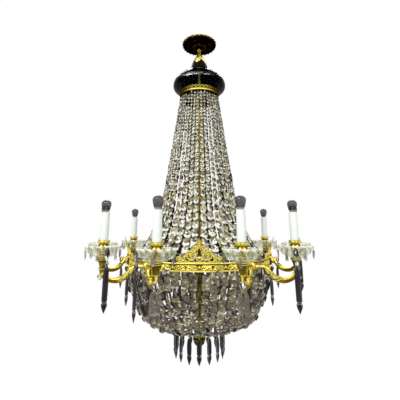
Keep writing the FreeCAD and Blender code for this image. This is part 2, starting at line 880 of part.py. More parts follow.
def rim_drop():
    """Small teardrop below the pan's rim."""
    x, top = rim_hook()
    shares = ((0.0, 0.15), (0.2, 0.4), (0.72, 1.0), (0.9, 0.7), (1.0, 0.2))
    return faceted([(x, top - drop_length * drop, drop_width * size, drop_thickness * size) for drop, size in shares])


def on_pan(shape, index, turn):
    """A crystal built at a pan's outer side, taken to a turn on one arm's pan."""
    return around(at(around(shape, turn), arm_circle_radius), arm_angle(index))


def pan_spears():
    shape = rim_spear()
    pieces = []
    for index in range(arm_count):
        for turn in pan_spear_turns[index % len(pan_spear_turns)]:
            pieces.append(on_pan(shape, index, turn))
    return pieces


def pan_drops():
    """A drop on each hook that no long spear is near."""
    shape = rim_drop()
    pieces = []
    for index in range(arm_count):
        spears = pan_spear_turns[index % len(pan_spear_turns)]
        first = spears[0] if spears else 0
        for hook in range(rim_hook_count):
            turn = first + (hook + 0.5) * 360.0 / rim_hook_count
            apart = [abs((turn - other + 180) % 360 - 180) for other in spears]
            if all(gap > rim_hook_spacing for gap in apart):
                pieces.append(on_pan(shape, index, turn))
    return pieces


def belly_spear():
    """Short spear under an arm, near the ring."""
    turn = math.radians(belly_hook_turn)
    centre_x, centre_z = arm_belly_centre()
    reach = arm_belly_radius + arm_tube_radius
    stations = spear_stations(centre_x - reach * math.sin(turn), 0.0, spear_length, spear_width, spear_thickness)
    top_thickness = stations[0][3]
    top = centre_z - reach * math.cos(turn) - loose_gap - top_thickness / 2 * math.tan(turn)
    return at(faceted(stations), 0, 0, top)


def spear_pair():
    """Bead under an arm's end, with a bar on which two short spears hang side by side."""
    turn = math.radians(pair_hook_turn)
    reach = arm_end_bend_radius + arm_tube_radius
    x = reach * math.cos(turn) - arm_end_bend_radius
    top = trumpet_foot - reach * math.sin(turn) - loose_gap - link_width / 2 / math.tan(turn)
    bead_foot = top - bead_size
    bead = faceted([(x, top, link_width, link_width), (x, top - bead_size / 2, bead_size * 0.9, bead_size * 0.9),
                    (x, bead_foot, link_width, link_width)])
    bar_foot = bead_foot - pair_bar_height
    width = pair_spacing + link_width
    pair = bead.fuse(at(block(link_width, width, bar_foot, bead_foot), x))
    spear = faceted(spear_stations(x, bar_foot, spear_length, spear_width, spear_thickness))
    for side in (-1, 1):
        pair = pair.fuse(at(spear, 0, side * pair_spacing / 2))
    return pair


def spear_pairs():
    every = along_arms(spear_pair())
    return [every[index] for index in pair_arms]


# Tent and basket


def tent_radius(share):
    """Radius of the tent at a share of its height below the crown."""
    top = crown_band_radius - crown_band_wall / 2
    foot = ring_radius - ring_wall - ring_flange_width / 2
    flare = (1 - tent_straight_part) * share ** tent_flare_power
    return top + (foot - top) * (tent_straight_part * share + flare)


def tent_strands():
    steps = 40
    path = [(tent_radius(step / steps), crown_foot - tent_height * step / steps) for step in range(steps + 1)]
    stations = strand_stations(path, tent_sizes, tent_strand_count, crystal_width_share)
    pieces = []
    for chain in split_strand(stations, tent_cuts):
        pieces += on_circle(chain, tent_strand_count, 360.0 / tent_strand_count / 2)
    return pieces


def basket_path():
    """Curve of the basket from the ring down to the bottom ring."""
    top_radius = ring_radius - ring_wall / 2
    foot_radius = bottom_ring_radius + bottom_ring_width / 2 + loose_gap + link_width
    span = top_radius - foot_radius
    hang = link_width * 0.5 + loose_gap
    shares = ((1.0, 0.0), (1.016, 0.16), (1.005, 0.26), (0.91, 0.42), (0.82, 0.58), (0.745, 0.70),
              (0.68, 0.78), (0.595, 0.84), (0.465, 0.89), (0.245, 0.94))
    path = [(foot_radius + span * out, ring_foot - hang - basket_depth * down) for out, down in shares]
    path.append((foot_radius, bottom_ring_top - bottom_ring_height / 2))
    return path


def basket_strands():
    stations = strand_stations(basket_path(), basket_sizes, basket_strand_count, basket_width_share)
    pieces = []
    for chain in split_strand(stations, basket_cuts, basket_lean):
        pieces += on_circle(chain, basket_strand_count, 360.0 / basket_strand_count / 2)
    return pieces


# Bottom ring, hooks, spears and finial


def bottom_ring():
    """Small ring on four bars, clamped on the stem by the finial."""
    outer = bottom_ring_radius + bottom_ring_width / 2
    inner = bottom_ring_radius - bottom_ring_width / 2
    ring = tube(outer, inner, bottom_ring_foot, bottom_ring_top)
    hub = rod(bottom_hub_radius, bottom_ring_foot, bottom_ring_top)
    bar = block(2 * bottom_ring_radius, bottom_bar_width, bottom_ring_foot, bottom_ring_top)
    bars = [around(bar, 180.0 * index / (bottom_bars / 2)) for index in range(bottom_bars // 2)]
    ring = ring.fuse([hub] + bars)
    return ring.cut(rod(rod_bore_radius, bottom_ring_foot, bottom_ring_top))


def spear_hook():
    """Two ears and a pin under the bottom ring, at +X."""
    ear_gap = spear_cap_width / 2 + loose_gap
    foot = bottom_ring_foot - hook_ear_drop
    ears = []
    for side in (-1, 1):
        low = side * (ear_gap + hook_ear_thickness / 2) - hook_ear_thickness / 2
        corner = FreeCAD.Vector(bottom_ring_radius - hook_ear_width / 2, low, foot)
        ears.append(Part.makeBox(hook_ear_width, hook_ear_thickness, hook_ear_drop, corner))
    reach = ear_gap + hook_ear_thickness / 2
    pin = Part.makeCylinder(hook_pin_radius, 2 * reach,
                            FreeCAD.Vector(bottom_ring_radius, -reach, hook_pin_level),
                            FreeCAD.Vector(0, 1, 0))
    return pin.fuse(ears)


def spear():
    """Brass cap on the hook's pin, and the long crystal below it."""
    cap = Part.makeBox(hook_ear_width, spear_cap_width, spear_cap_length,
                       FreeCAD.Vector(bottom_ring_radius - hook_ear_width / 2, -spear_cap_width / 2, spear_top))
    eye = Part.makeCylinder(hook_pin_radius + loose_gap, 2 * spear_cap_width,
                            FreeCAD.Vector(bottom_ring_radius, -spear_cap_width, hook_pin_level),
                            FreeCAD.Vector(0, 1, 0))
    crystal = faceted(spear_stations(bottom_ring_radius, spear_top, spear_length, spear_width, spear_thickness))
    return [cap.cut(eye), crystal]


def finial():
    """Acorn nut on the stem's end."""
    top = bottom_ring_foot - running_gap
    shares = ((0.0, 0.42), (0.1, 0.42), (0.16, 0.62), (0.22, 0.5), (0.34, 0.9), (0.42, 1.0), (0.54, 0.95),
              (0.7, 0.72), (0.84, 0.42), (0.92, 0.3), (0.96, 0.28), (1.0, 0.1))
    outline = [(finial_radius * width, top - finial_length * drop) for drop, width in shares]
    body = turned([(0, top)] + outline + [(0, top - finial_length)])
    return body.cut(rod(rod_bore_radius, top - finial_bore_depth, top))


def main():
    os.makedirs("parts", exist_ok=True)
    save("mounting_bar", mounting_bar())
    save("mounting_nipple", mounting_nipple())
    save("lock_nut", lock_nut())
    save("ceiling_canopy", ceiling_canopy())
    save("canopy_ball", canopy_ball())
    save("hanging_eye", hanging_eye())
    save("hanging_link", hanging_link())
    save("crown_loop", crown_loop())
    save("leaf_cap", leaf_cap())
    save("crown_neck", crown_neck())
    save("crown_dome", crown_dome())
    save("crown_baluster", crown_baluster())
    save("crown_plate", crown_plate())
    save("crown_band", crown_band())
    save("central_rod", central_rod())
    save("rod_sleeve", rod_sleeve())
    save("ring_spider", ring_spider())
    save("wiring_hub", wiring_hub())
    save("ring_band", ring_band())
    save("ring_crests", on_circle(crest(), crest_count, -90))
    save("arm_roots", on_roots(arm_root()))
    save("arms", along_arms(arm()))
    save("trumpet_cups", on_candles(trumpet_cup()))
    save("bobeches", on_candles(bobeche()))
    save("candle_cups", on_candles(candle_cup()))
    save("candle_covers", on_candles(candle_cover()))
    save("lamp_sockets", on_candles(lamp_socket()))
    for index, shape in enumerate(on_candles(bulb())):
        save("bulb_%02d" % (index + 1), shape)
    save("arm_spears", pan_spears() + spear_pairs() + along_arms(belly_spear()))
    save("bobeche_drops", pan_drops())
    save("tent_strands", tent_strands())
    save("basket_strands", basket_strands())
    save("bottom_ring", bottom_ring())
    save("spear_hooks", on_circle(spear_hook(), spear_count, -90))
    cap, crystal = spear()
    for index in range(spear_count):
        turn = 360.0 * index / spear_count - 90
        save("spear_%02d" % (index + 1), [around(cap, turn), around(crystal, turn)])
    save("finial", finial())
    print("ring top", ring_top, "spear tip", spear_top - spear_length)


main()
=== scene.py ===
"""Looks of the tent and basket chandelier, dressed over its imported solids.

Lengths are millimetres until a piece is made. +Z is up and the front is -Y.
"""

import math
import random

import bmesh
import bpy
import numpy as np
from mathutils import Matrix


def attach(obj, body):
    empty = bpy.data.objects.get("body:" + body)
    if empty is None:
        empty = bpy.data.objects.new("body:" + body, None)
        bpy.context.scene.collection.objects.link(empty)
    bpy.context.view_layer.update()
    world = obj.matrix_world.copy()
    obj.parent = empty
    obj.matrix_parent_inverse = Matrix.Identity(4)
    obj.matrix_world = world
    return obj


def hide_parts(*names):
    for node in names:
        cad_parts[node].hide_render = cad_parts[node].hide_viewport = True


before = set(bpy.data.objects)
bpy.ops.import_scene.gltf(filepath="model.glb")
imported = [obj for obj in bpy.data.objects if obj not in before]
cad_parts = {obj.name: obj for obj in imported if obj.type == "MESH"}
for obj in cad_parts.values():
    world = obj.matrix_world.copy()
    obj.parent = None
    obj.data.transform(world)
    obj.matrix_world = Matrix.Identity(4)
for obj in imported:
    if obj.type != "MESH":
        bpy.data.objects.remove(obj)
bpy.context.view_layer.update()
chance = random.Random(11)
millimetre = 0.001

# Sizes that the solids have too, in millimetres

canopy_radius = 83.0
canopy_foot = -26.0
canopy_bore_radius = 5.3
cap_top = -71.93
dome_top = -150.93
dome_height = 108.0
dome_radius = 122.0
dome_mouth_radius = 44.0
dome_wall = 3.0
baluster_drop = 10.0
baluster_length = 66.0
baluster_radius = 11.0
crown_radius = 88.0
crown_height = 28.0
tent_strand_count = 40
tent_height = 697.0
tent_sizes = ((16, 15.5), (6, 19.4), (3, 23.0), (9, 30.5))     # how many crystals, and the pitch of each
ring_radius = 278.0
ring_height = 28.0
ring_lip = 3.0
crest_count = 5
crest_width = 152.0
crest_height = 82.0
crest_lean = 22.0
arm_count = 10
arm_circle = 400.0
root_radius = 298.0         # of the balls where the arms meet, in pairs
root_ball_radius = 12.0
candle_rise = 64.0
candle_radius = 14.0
candle_length = 98.0
cup_height = 52.0
cup_bore_radius = 3.3
pan_radius = 60.0
pan_depth = 37.0
pan_floor_radius = 17.0
pan_wall = 3.0
pan_bore_radius = 5.3
trumpet_radius = 18.0
trumpet_height = 38.0
bulb_radius = 17.0
bulb_height = 44.0
bulb_base_radius = 7.0
bulb_base_length = 23.0
basket_strand_count = 56
basket_depth = 235.0
basket_sizes = ((3, 25.0), (3, 22.5), (3, 20.0), (3, 18.0), (3, 15.5), (3, 13.0))
bottom_ring_radius = 94.0
spear_count = 16
spear_length = 86.0
spear_head_length = 31.0
finial_radius = 24.0
finial_length = 68.0
wire_bore_radius = 5.05

dome_foot = dome_top - dome_height
crown_foot = dome_foot - crown_height
ring_top = crown_foot - tent_height
ring_foot = ring_top - ring_height
candle_foot = ring_top + candle_rise
candle_top = candle_foot + candle_length
bulb_neck = candle_top - 2.0
cup_foot = candle_foot + 5.0 - cup_height
pan_foot = cup_foot - pan_wall
pan_rim = pan_foot + pan_depth
trumpet_foot = pan_foot - trumpet_height
bottom_ring_top = ring_foot - basket_depth
bottom_ring_foot = bottom_ring_top - 6.0
spear_top = bottom_ring_foot - 9.6
spear_pin_level = bottom_ring_foot - 4.0

# Shader values and finishes


class Shade:
    """A shader value that can stand in a sum."""

    def __init__(self, tree, socket):
        self.tree = tree
        self.socket = socket

    def sum(self, operation, *values):
        return self.tree.sum_of(operation, *values)

    def __add__(self, other):
        return self.sum("ADD", self, other)

    def __sub__(self, other):
        return self.sum("SUBTRACT", self, other)

    def __mul__(self, other):
        return self.sum("MULTIPLY", self, other)

    def __rsub__(self, other):
        return self.sum("SUBTRACT", other, self)

    __radd__ = __add__
    __rmul__ = __mul__

    def held(self, low=0.0, high=1.0):
        """The value kept between two limits."""
        return self.sum("MINIMUM", self.sum("MAXIMUM", self, low), high)


class NodeTree:
    """The nodes of a finish or of the daylight, made one at a time."""

    def __init__(self, owner):
        owner.use_nodes = True
        self.tree = owner.node_tree
        self.tree.nodes.clear()

    def node(self, kind, settings=None, sockets=None, output=0):
        """One node: its settings, then the values or links of its sockets."""
        made = self.tree.nodes.new(kind)
        for name, value in (settings or {}).items():
            if name == "stops":
                self.fill(made.color_ramp, value)
            else:
                setattr(made, name, value)
        for name, value in (sockets or {}).items():
            if isinstance(value, Shade):
                self.tree.links.new(value.socket, made.inputs[name])
            else:
                made.inputs[name].default_value = value
        return Shade(self, made.outputs[output]) if len(made.outputs) else made

    def sum_of(self, operation, *values):
        return self.node("ShaderNodeMath", {"operation": operation}, dict(enumerate(values)))

    def fill(self, ramp, stops):
        """Gives a ramp its stops of (place, colour)."""
        while len(ramp.elements) < len(stops):
            ramp.elements.new(1.0)
        for element, (place, colour) in zip(ramp.elements, stops):
            element.position = place
            element.color = linear(colour)


class Finish(NodeTree):
    """One finish of the chandelier."""

    def __init__(self, name):
        self.material = bpy.data.materials.new(name)
        super().__init__(self.material)

    def tone(self):
        """The tone that the maker gave each facet or relief."""
        return self.node("ShaderNodeAttribute", {"attribute_name": "tone"}, output="Fac")

    def along(self, axis):
        """How far a place lies along one axis of its piece, in metres."""
        place = self.node("ShaderNodeTexCoord", output="Object")
        return self.node("ShaderNodeSeparateXYZ", sockets={"Vector": place}, output=axis)

    def grain(self, scale, detail, stretch=(1.0, 1.0, 1.0)):
        """Soft noise, with so many waves to the metre."""
        place = self.node("ShaderNodeTexCoord", output="Object")
        spread = self.node("ShaderNodeMapping", sockets={"Vector": place, "Scale": stretch})
        return self.node("ShaderNodeTexNoise", sockets={"Vector": spread, "Scale": scale, "Detail": detail})

    def ramp(self, value, stops):
        return self.node("ShaderNodeValToRGB", {"stops": stops}, {"Fac": value})

    def relief(self, height, depth):
        """A normal from small heights, whose whole depth is in millimetres."""
        sockets = {"Height": height, "Distance": depth * millimetre, "Strength": 0.6}
        return self.node("ShaderNodeBump", sockets=sockets)

    def surface(self, **sockets):
        """The glossy shader and the output. Names are the shader's sockets, with _ for a blank."""
        named = {name.replace("_", " "): value for name, value in sockets.items()}
        shader = self.node("ShaderNodeBsdfPrincipled", sockets=named)
        self.node("ShaderNodeOutputMaterial", sockets={"Surface": shader})
        return self


def linear(colour):
    """A colour written as #rrggbb, in the light's own scale."""
    parts = [int(colour[start:start + 2], 16) / 255 for start in (1, 3, 5)]
    return [part / 12.92 if part <= 0.04045 else ((part + 0.055) / 1.055) ** 2.4 for part in parts] + [1.0]


def gilt(name, recess, body, crest, roughness, carved=True, edge="#fff0c0", painted_side_shade=0.0):
    """Gilding with painted shade in its recesses and painted highlights on its crests, and with painted shade
    that may darken it toward the sides.
    """
    finish = Finish(name)
    wear = finish.grain(45.0, 4.0)
    pits = finish.grain(900.0, 3.0)
    height = finish.tone() if carved else wear
    depth = (height + (wear - 0.5) * 0.5 + (pits - 0.5) * 0.35).held()
    # painted shade: the colour darkens toward the left and right sides of the piece
    if painted_side_shade:
        depth = depth * (1.3 - finish.sum_of("ABSOLUTE", finish.along("X")) * painted_side_shade).held()
    # painted shade and highlight: low tone takes the recess colour, high tone the crest colour
    colour = finish.ramp(depth, ((0.0, recess), (0.22, recess), (0.58, body), (0.88, crest), (1.0, crest)))
    return finish.surface(
        Base_Color=colour, Metallic=1.0, Roughness=(wear * 0.25 + roughness).held(0.05, 0.9),
        Specular_Tint=linear(edge), Normal=finish.relief(pits, 0.5))


def cut_glass(name, stops, smoke=0.2, gloss=0.4, stretch=(1.0, 1.0, 1.0), clearness=0.0):
    """Polished lead glass whose facets carry painted reflections, dark and bright by turns, and clearer where
    they are bright.
    """
    finish = Finish(name)
    streak = finish.grain(260.0, 2.0, stretch)
    light = (finish.tone() + (streak - 0.5) * smoke).held()
    return finish.surface(
        Base_Color=finish.ramp(light, stops), Roughness=(streak * 0.08 + 0.04).held(),
        Specular_IOR_Level=gloss, Alpha=(1.0 - (light + 0.25) * clearness).held(0.12) if clearness else 1.0)


def pan_glass(name):
    """Pale green pressed glass, clearer between its cuts."""
    finish = Finish(name)
    streak = finish.grain(120.0, 3.0, (1.0, 1.0, 2.0))
    light = (finish.tone() + (streak - 0.5) * 0.4).held()
    colour = finish.ramp(light, (
        (0.0, "#6e6c4e"), (0.25, "#a09d74"), (0.5, "#cacca2"), (0.7, "#e8eed0"), (1.0, "#ffffff")))
    return finish.surface(
        Base_Color=colour, Roughness=(streak * 0.1 + 0.03).held(),
        Alpha=(light * light * 0.85 + 0.08).held(0.0, 0.95),
        Specular_IOR_Level=0.4, Normal=finish.relief(streak, 0.8))


def clear_smoke(name, dark, pale, clearness, gloss, polished_level=None):
    """Thin smoky glass, clearer where its tone is low, with streaks of polish round one level."""
    finish = Finish(name)
    haze = finish.grain(70.0, 3.0)
    light = (finish.tone() + (haze - 0.5) * 0.25).held()
    polish = 0.0
    if polished_level is not None:
        across = finish.along("X")
        off_level = finish.sum_of("ABSOLUTE", finish.along("Z") - polished_level * millimetre)
        nearness = (1.5 - off_level * 170.0).held()
        side = ((across + 0.09) * 50.0).held() * (0.9 - (across + 0.02) * 9.0).held()
        streaks = finish.grain(60.0, 5.0, (1.0, 1.0, 3.0))
        polish = ((streaks - 0.42) * 9.0).held() * nearness * side
    return finish.surface(
        Base_Color=finish.ramp(light, ((0.0, dark), (0.5, dark), (1.0, pale))),
        Roughness=(haze * 0.06 + 0.02).held(),
        Alpha=(1.0 - clearness + light * clearness + polish * 0.85).held(),
        Specular_IOR_Level=gloss, Coat_Weight=polish, Coat_Roughness=0.04, Coat_IOR=3.4)


def candle_white():
    """White card tube with a faint cool cast and soft handling marks."""
    finish = Finish("candle_white")
    marks = finish.grain(60.0, 4.0, (1.0, 1.0, 0.3))
    return finish.surface(
        Base_Color=finish.ramp(marks, ((0.0, "#dfe9e5"), (0.5, "#eef5f1"), (1.0, "#f6fbf9"))),
        Roughness=(marks * 0.2 + 0.35).held(), Normal=finish.relief(marks, 0.2))


def black_enamel():
    """Dull black enamel with faint brush marks."""
    finish = Finish("black_enamel")
    brush = finish.grain(80.0, 4.0)
    return finish.surface(
        Base_Color=finish.ramp(brush, ((0.0, "#040303"), (0.6, "#0c090a"), (1.0, "#1e171b"))),
        Roughness=(brush * 0.3 + 0.3).held(), Specular_IOR_Level=0.05, Normal=finish.relief(brush, 0.4))


def plain_metal(name, dark, pale, roughness, metallic=1.0):
    """Drawn or pressed metal with fine scratches along it."""
    finish = Finish(name)
    scratch = finish.grain(400.0, 3.0, (1.0, 1.0, 0.1))
    colour = finish.ramp(scratch, ((0.2, dark), (0.8, pale)))
    return finish.surface(
        Base_Color=colour, Metallic=metallic, Roughness=(scratch * 0.2 + roughness).held(),
        Normal=finish.relief(scratch, 0.1))


enamel = black_enamel()
bright_gilt = gilt("bright_gilt", "#191203", "#8c7620", "#f2e070", 0.24)
satin_gilt = gilt("satin_gilt", "#2e2306", "#b89a34", "#fff09a", 0.5)
smooth_gilt = gilt("smooth_gilt", "#5a480c", "#a38824", "#eedc70", 0.16, carved=False)
# crown band gilding, with painted shade toward its sides
crown_gilt = gilt("crown_gilt", "#0c0801", "#7d6818", "#fff27c", 0.36, edge="#806c2c", painted_side_shade=10.5)
shaded_gilt = gilt("shaded_gilt", "#140e02", "#64541a", "#ecd968", 0.2)
# near-black gilding: painted shade for the rosette under the ceiling
antique_gilt = gilt("antique_gilt", "#050201", "#1e0f04", "#b8a040", 0.42, edge="#5e3a18")
tent_glass = cut_glass("tent_glass", (
    (0.0, "#141015"), (0.2, "#322c22"), (0.38, "#6c6038"), (0.58, "#9f9a70"), (0.78, "#d0d3ba"),
    (0.95, "#ffffff")))
basket_glass = cut_glass("basket_glass", (
    (0.0, "#383238"), (0.2, "#544d52"), (0.4, "#6f6857"), (0.6, "#8a8160"), (0.85, "#aaa384"),
    (1.0, "#ece9d8")), gloss=0.15)
spear_glass = cut_glass("spear_glass", (
    (0.0, "#161318"), (0.28, "#332e36"), (0.45, "#4c4750"), (0.62, "#6e6970"), (0.8, "#b0aca2"),
    (1.0, "#f6f5ec")), smoke=0.5, gloss=0.12, stretch=(1.0, 1.0, 0.12))
drop_glass = cut_glass("drop_glass", (
    (0.0, "#4a4642"), (0.3, "#7a7565"), (0.55, "#aaa68e"), (0.8, "#e4e3d2"), (1.0, "#ffffff")),
    smoke=0.5, gloss=0.3, clearness=0.95)
pan_green = pan_glass("pan_green_glass")
dome_glass = clear_smoke("dome_glass", "#030203", "#0b080c", 0.9, 0.04, polished_level=-220.0)
bulb_glass = clear_smoke("bulb_glass", "#140d0b", "#c8c4b4", 0.34, 0.5)
stem_glass = cut_glass("stem_glass", ((0.0, "#8f8a80"), (0.5, "#e6e2d4"), (1.0, "#ffffff")))
brass_pin = plain_metal("brass_pin", "#6a5212", "#c8a93c", 0.25)
zinc_steel = plain_metal("zinc_steel", "#6d6f70", "#b6b8b9", 0.3)
porcelain = plain_metal("porcelain", "#b9b4a6", "#e6e2d6", 0.35, metallic=0.0)

# Shapes


class Shape:
    """Corners, faces and tones of a piece in the making, in millimetres."""

    def __init__(self):
        self.blocks = []
        self.count = 0
        self.faces = []
        self.tones = []
        self.coats = []

    def add(self, corners, faces, tones, coat=0):
        """Tones are one per corner, or one per face if there are as many as faces."""
        by_face = len(tones) == len(faces) and len(tones) != len(corners)
        start = self.count
        self.blocks.append(np.asarray(corners, float))
        self.count += len(corners)
        for number, face in enumerate(faces):
            self.faces.append([start + corner for corner in face])
            self.tones.extend([tones[number]] * len(face) if by_face else [tones[corner] for corner in face])
            self.coats.append(coat)
        return self

    def join(self, *others):
        for other in others:
            start = self.count
            self.blocks += other.blocks
            self.count += other.count
            self.faces += [[start + corner for corner in face] for face in other.faces]
            self.tones += other.tones
            self.coats += other.coats
        return self

    def moved(self, move):
        """The shape again, with its corners taken through a move."""
        made = Shape()
        made.blocks = [move(np.vstack(self.blocks))]
        made.count = self.count
        made.faces = self.faces
        made.tones = self.tones
        made.coats = self.coats
        return made

    def coated(self, coat):
        """The shape again in another of its piece's finishes."""
        made = self.moved(lambda points: points)
        made.coats = [coat] * len(self.faces)
        return made


def turned_by(degrees):
    """A move that turns about the stem."""
    turn = math.radians(degrees)

    def move(points):
        x, y, z = points.T
        first = x * math.cos(turn) - y * math.sin(turn)
        second = x * math.sin(turn) + y * math.cos(turn)
        return np.stack([first, second, z], -1)
    return move


def shifted_by(x, y=0.0, z=0.0):
    return lambda points: points + np.array([x, y, z])


def arm_turn(index):
    return (index - 0.5) * 360.0 / arm_count - 90.0


def on_candle(shape, index):
    """The shape, built on the Z axis, on the line of one arm's candle."""
    return shape.moved(shifted_by(arm_circle)).moved(turned_by(arm_turn(index)))


def on_candles(shape):
    return Shape().join(*[on_candle(shape, index) for index in range(arm_count)])


def arm_reach():
    """Plan distance from a candle to its root ball, and that line's turn from the stem's direction."""
    half = math.radians(180.0 / arm_count)
    inward = arm_circle - root_radius * math.cos(half)
    sideways = root_radius * math.sin(half)
    return math.hypot(inward, sideways), math.degrees(math.atan2(sideways, inward))


def along_arm(shape, index):
    """The shape, built from the candle on the Z axis inward along -X, on one arm's own line."""
    side = 1 if index % 2 == 0 else -1
    return on_candle(shape.moved(turned_by(side * arm_reach()[1])), index)


def along_arms(shape):
    return Shape().join(*[along_arm(shape, index) for index in range(arm_count)])


def on_circle(shape, count, first=0.0):
    return Shape().join(*[shape.moved(turned_by(first + 360.0 * index / count)) for index in range(count)])


def face_outward(data):
    """Turns the faces of a mesh so that they look outward."""
    work = bmesh.new()
    work.from_mesh(data)
    bmesh.ops.recalc_face_normals(work, faces=work.faces)
    work.to_mesh(data)
    work.free()


def make(name, shape, finishes, replaces=(), body="chandelier", crease=38.0):
    """One piece of the scene that rides on a body. No crease leaves every facet flat."""
    data = bpy.data.meshes.new(name)
    corners = np.vstack(shape.blocks) * millimetre
    data.from_pydata(corners.tolist(), [], shape.faces)
    data.attributes.new("tone", "FLOAT", "CORNER").data.foreach_set("value", shape.tones)
    for finish in finishes:
        data.materials.append(finish.material)
    data.polygons.foreach_set("material_index", shape.coats)
    face_outward(data)
    if crease:
        data.shade_smooth()
        data.set_sharp_from_angle(angle=math.radians(crease))
    piece = bpy.data.objects.new(name, data)
    bpy.context.scene.collection.objects.link(piece)
    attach(piece, body)
    if replaces:
        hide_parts(*replaces)
    return piece


def grid_faces(rows, columns, round_rows=False, round_columns=True):
    """Faces between the corners of a grid, which may close on itself either way."""
    faces = []
    for row in range(rows if round_rows else rows - 1):
        after = (row + 1) % rows
        for column in range(columns if round_columns else columns - 1):
            onward = (column + 1) % columns
            faces.append((row * columns + column, row * columns + onward,
                          after * columns + onward, after * columns + column))
    return faces


def bar_faces(rows, sides):
    """Faces of a closed bar of so many rows, with its two ends."""
    last = (rows - 1) * sides
    return grid_faces(rows, sides) + [list(range(sides)), list(range(last, last + sides))]


def smooth(points, steps):
    """A soft curve through points, with so many steps from one to the next."""
    points = np.asarray(points, float)
    ends = np.vstack([2 * points[0] - points[1], points, 2 * points[-1] - points[-2]])
    line = []
    for before, start, end, after in zip(ends[:-3], ends[1:-2], ends[2:-1], ends[3:]):
        for step in range(steps):
            share = step / steps
            line.append(0.5 * (2 * start + (end - before) * share
                               + (2 * before - 5 * start + 4 * end - after) * share ** 2
                               + (3 * start - before - 3 * end + after) * share ** 3))
    return np.array(line + [points[-1]])


def ways_along(line):
    """Way of a line at each of its points, one long."""
    along = np.gradient(line, axis=0)
    return along / np.maximum(np.linalg.norm(along, axis=1, keepdims=True), 1e-9)


def risen(share, start, span):
    """Rises from 0 at a start to 1 after a span. With a span below zero it falls."""
    return min(max((share - start) / span, 0.0), 1.0)


def swell(share, start, span):
    """Rises from 0 and falls back to it over a span."""
    return math.sin(math.pi * risen(share, start, span))


def hump(share, middle, width):
    """Soft hump of height 1 round a middle."""
    return math.exp(-((share - middle) / width) ** 2)


def rows_from(shares, width, start, height):
    """Rows of (radius, height, tone) from shares of (height, width, tone)."""
    return [(width * out, start + height * along, tone) for along, out, tone in shares]


def round_places(reach, turn, level):
    """Points at a distance and a turn about the stem."""
    return np.stack([reach * np.cos(turn), reach * np.sin(turn), level + 0 * turn], -1)


def lathe(profile, segments, wave=None, ring=False, coat=0):
    """Turned skin through (radius, height, tone) rows. A wave adds to all three, from angle and row."""
    profile = np.asarray(profile, float)
    angles = np.arange(segments) * 2 * math.pi / segments
    corners = []
    tones = []
    for row, (radius, height, tone) in enumerate(profile):
        out, up, light = wave(angles, row / (len(profile) - 1)) if wave else (0.0, 0.0, 0.0)
        reach = np.maximum(radius + out, 0.0) + 0 * angles
        corners.append(round_places(reach, angles, height + up))
        tones.extend(np.clip(tone + light + 0 * angles, 0, 1).tolist())
    return Shape().add(np.vstack(corners), grid_faces(len(profile), segments, ring), tones, coat)


def on_wall(radius, level, start=0.0, lean=0.0, height=1.0):
    """Lays (along, up, rise) on an upright round wall that may lean out to its top."""
    def lay(along, up, rise):
        reach = radius + rise + lean * np.clip(up, 0, None) / height
        return round_places(reach, math.radians(start) + along / radius, level + up)
    return lay


def on_turned(profile):
    """Lays (along, level, rise) on a turned form of (radius, height) rows, from +X round."""
    rows = sorted((row[1], row[0]) for row in profile)
    levels = [row[0] for row in rows]
    radii = [row[1] for row in rows]

    def lay(along, level, rise):
        radius = np.interp(level, levels, radii)
        return round_places(radius + rise, along / np.maximum(radius, 1.0), level)
    return lay


def rib(line, width, rise, lay, taper=0.35):
    """Rounded rib along a flat line, laid on a form."""
    sides = 8
    line = np.asarray(line, float)
    along = ways_along(line)
    share = np.linspace(0, 1, len(line))
    size = taper + (1 - taper) * np.sin(math.pi * share) ** 0.6
    turn = np.arange(sides) * 2 * math.pi / sides
    side = np.cos(turn)[None, :] * size[:, None] * width / 2
    lift = np.sin(turn)[None, :] * size[:, None] * rise
    lift = np.where(lift < 0, lift * 0.5, lift)
    first = line[:, 0, None] - along[:, 1, None] * side
    second = line[:, 1, None] + along[:, 0, None] * side
    corners = lay(first, second, lift).reshape(-1, 3)
    # painted highlight and shade: each rib is lighter along its top and darker down its flanks
    tones = np.tile(0.35 + 0.65 * np.clip(np.sin(turn), 0, 1), len(line))
    return Shape().add(corners, bar_faces(len(line), sides), tones.tolist())


def leaf(root, tip, half_width, rise, lay, teeth, curl=0.0):
    """Toothed leaf with a raised midrib, laid on a form from its root to its tip."""
    root = np.array(root, float)
    tip = np.array(tip, float)
    along = tip - root
    across = np.array([-along[1], along[0]]) / np.linalg.norm(along)
    sides = np.array([-1.0, -0.55, 0.0, 0.55, 1.0])
    rows = 4 * teeth + 1
    firsts, seconds, lifts, tones = [], [], [], []
    for row in range(rows):
        share = row / (rows - 1)
        notch = (share * teeth) % 1.0
        width = half_width * math.sin(math.pi * min(share ** 0.75 + 0.08, 1.0)) ** 0.75 * (1 - 0.3 * notch)
        for side in sides:
            place = root + along * (share - 0.05 * abs(side)) + across * side * width
            firsts.append(place[0])
            seconds.append(place[1])
            lifts.append(rise * (1 - 0.7 * abs(side)) * math.sin(math.pi * (0.1 + 0.85 * share)) ** 0.5
                         + curl * share ** 2)
            vein = 0.5 + 0.5 * math.cos(2 * math.pi * (share * teeth - 0.7 * abs(side)))
            # painted highlight along the raised midrib; the veins are a pattern
            tones.append(0.35 + 0.3 * (1 - abs(side)) + 0.4 * vein)
    corners = lay(np.array(firsts), np.array(seconds), np.array(lifts))
    faces = grid_faces(rows, len(sides), round_columns=False)
    return Shape().add(corners, faces, np.clip(tones, 0, 1).tolist())


def volute(centre, start_radius, end_radius, start, turns, steps=22):
    """Spiral line round a centre. Turns below zero go clockwise."""
    line = []
    for step in range(steps + 1):
        share = step / steps
        radius = start_radius + (end_radius - start_radius) * share
        angle = math.radians(start + 360.0 * turns * share)
        line.append((centre[0] + radius * math.cos(angle), centre[1] + radius * math.sin(angle)))
    return line


def mirrored(line):
    return [(-first, second) for first, second in line]


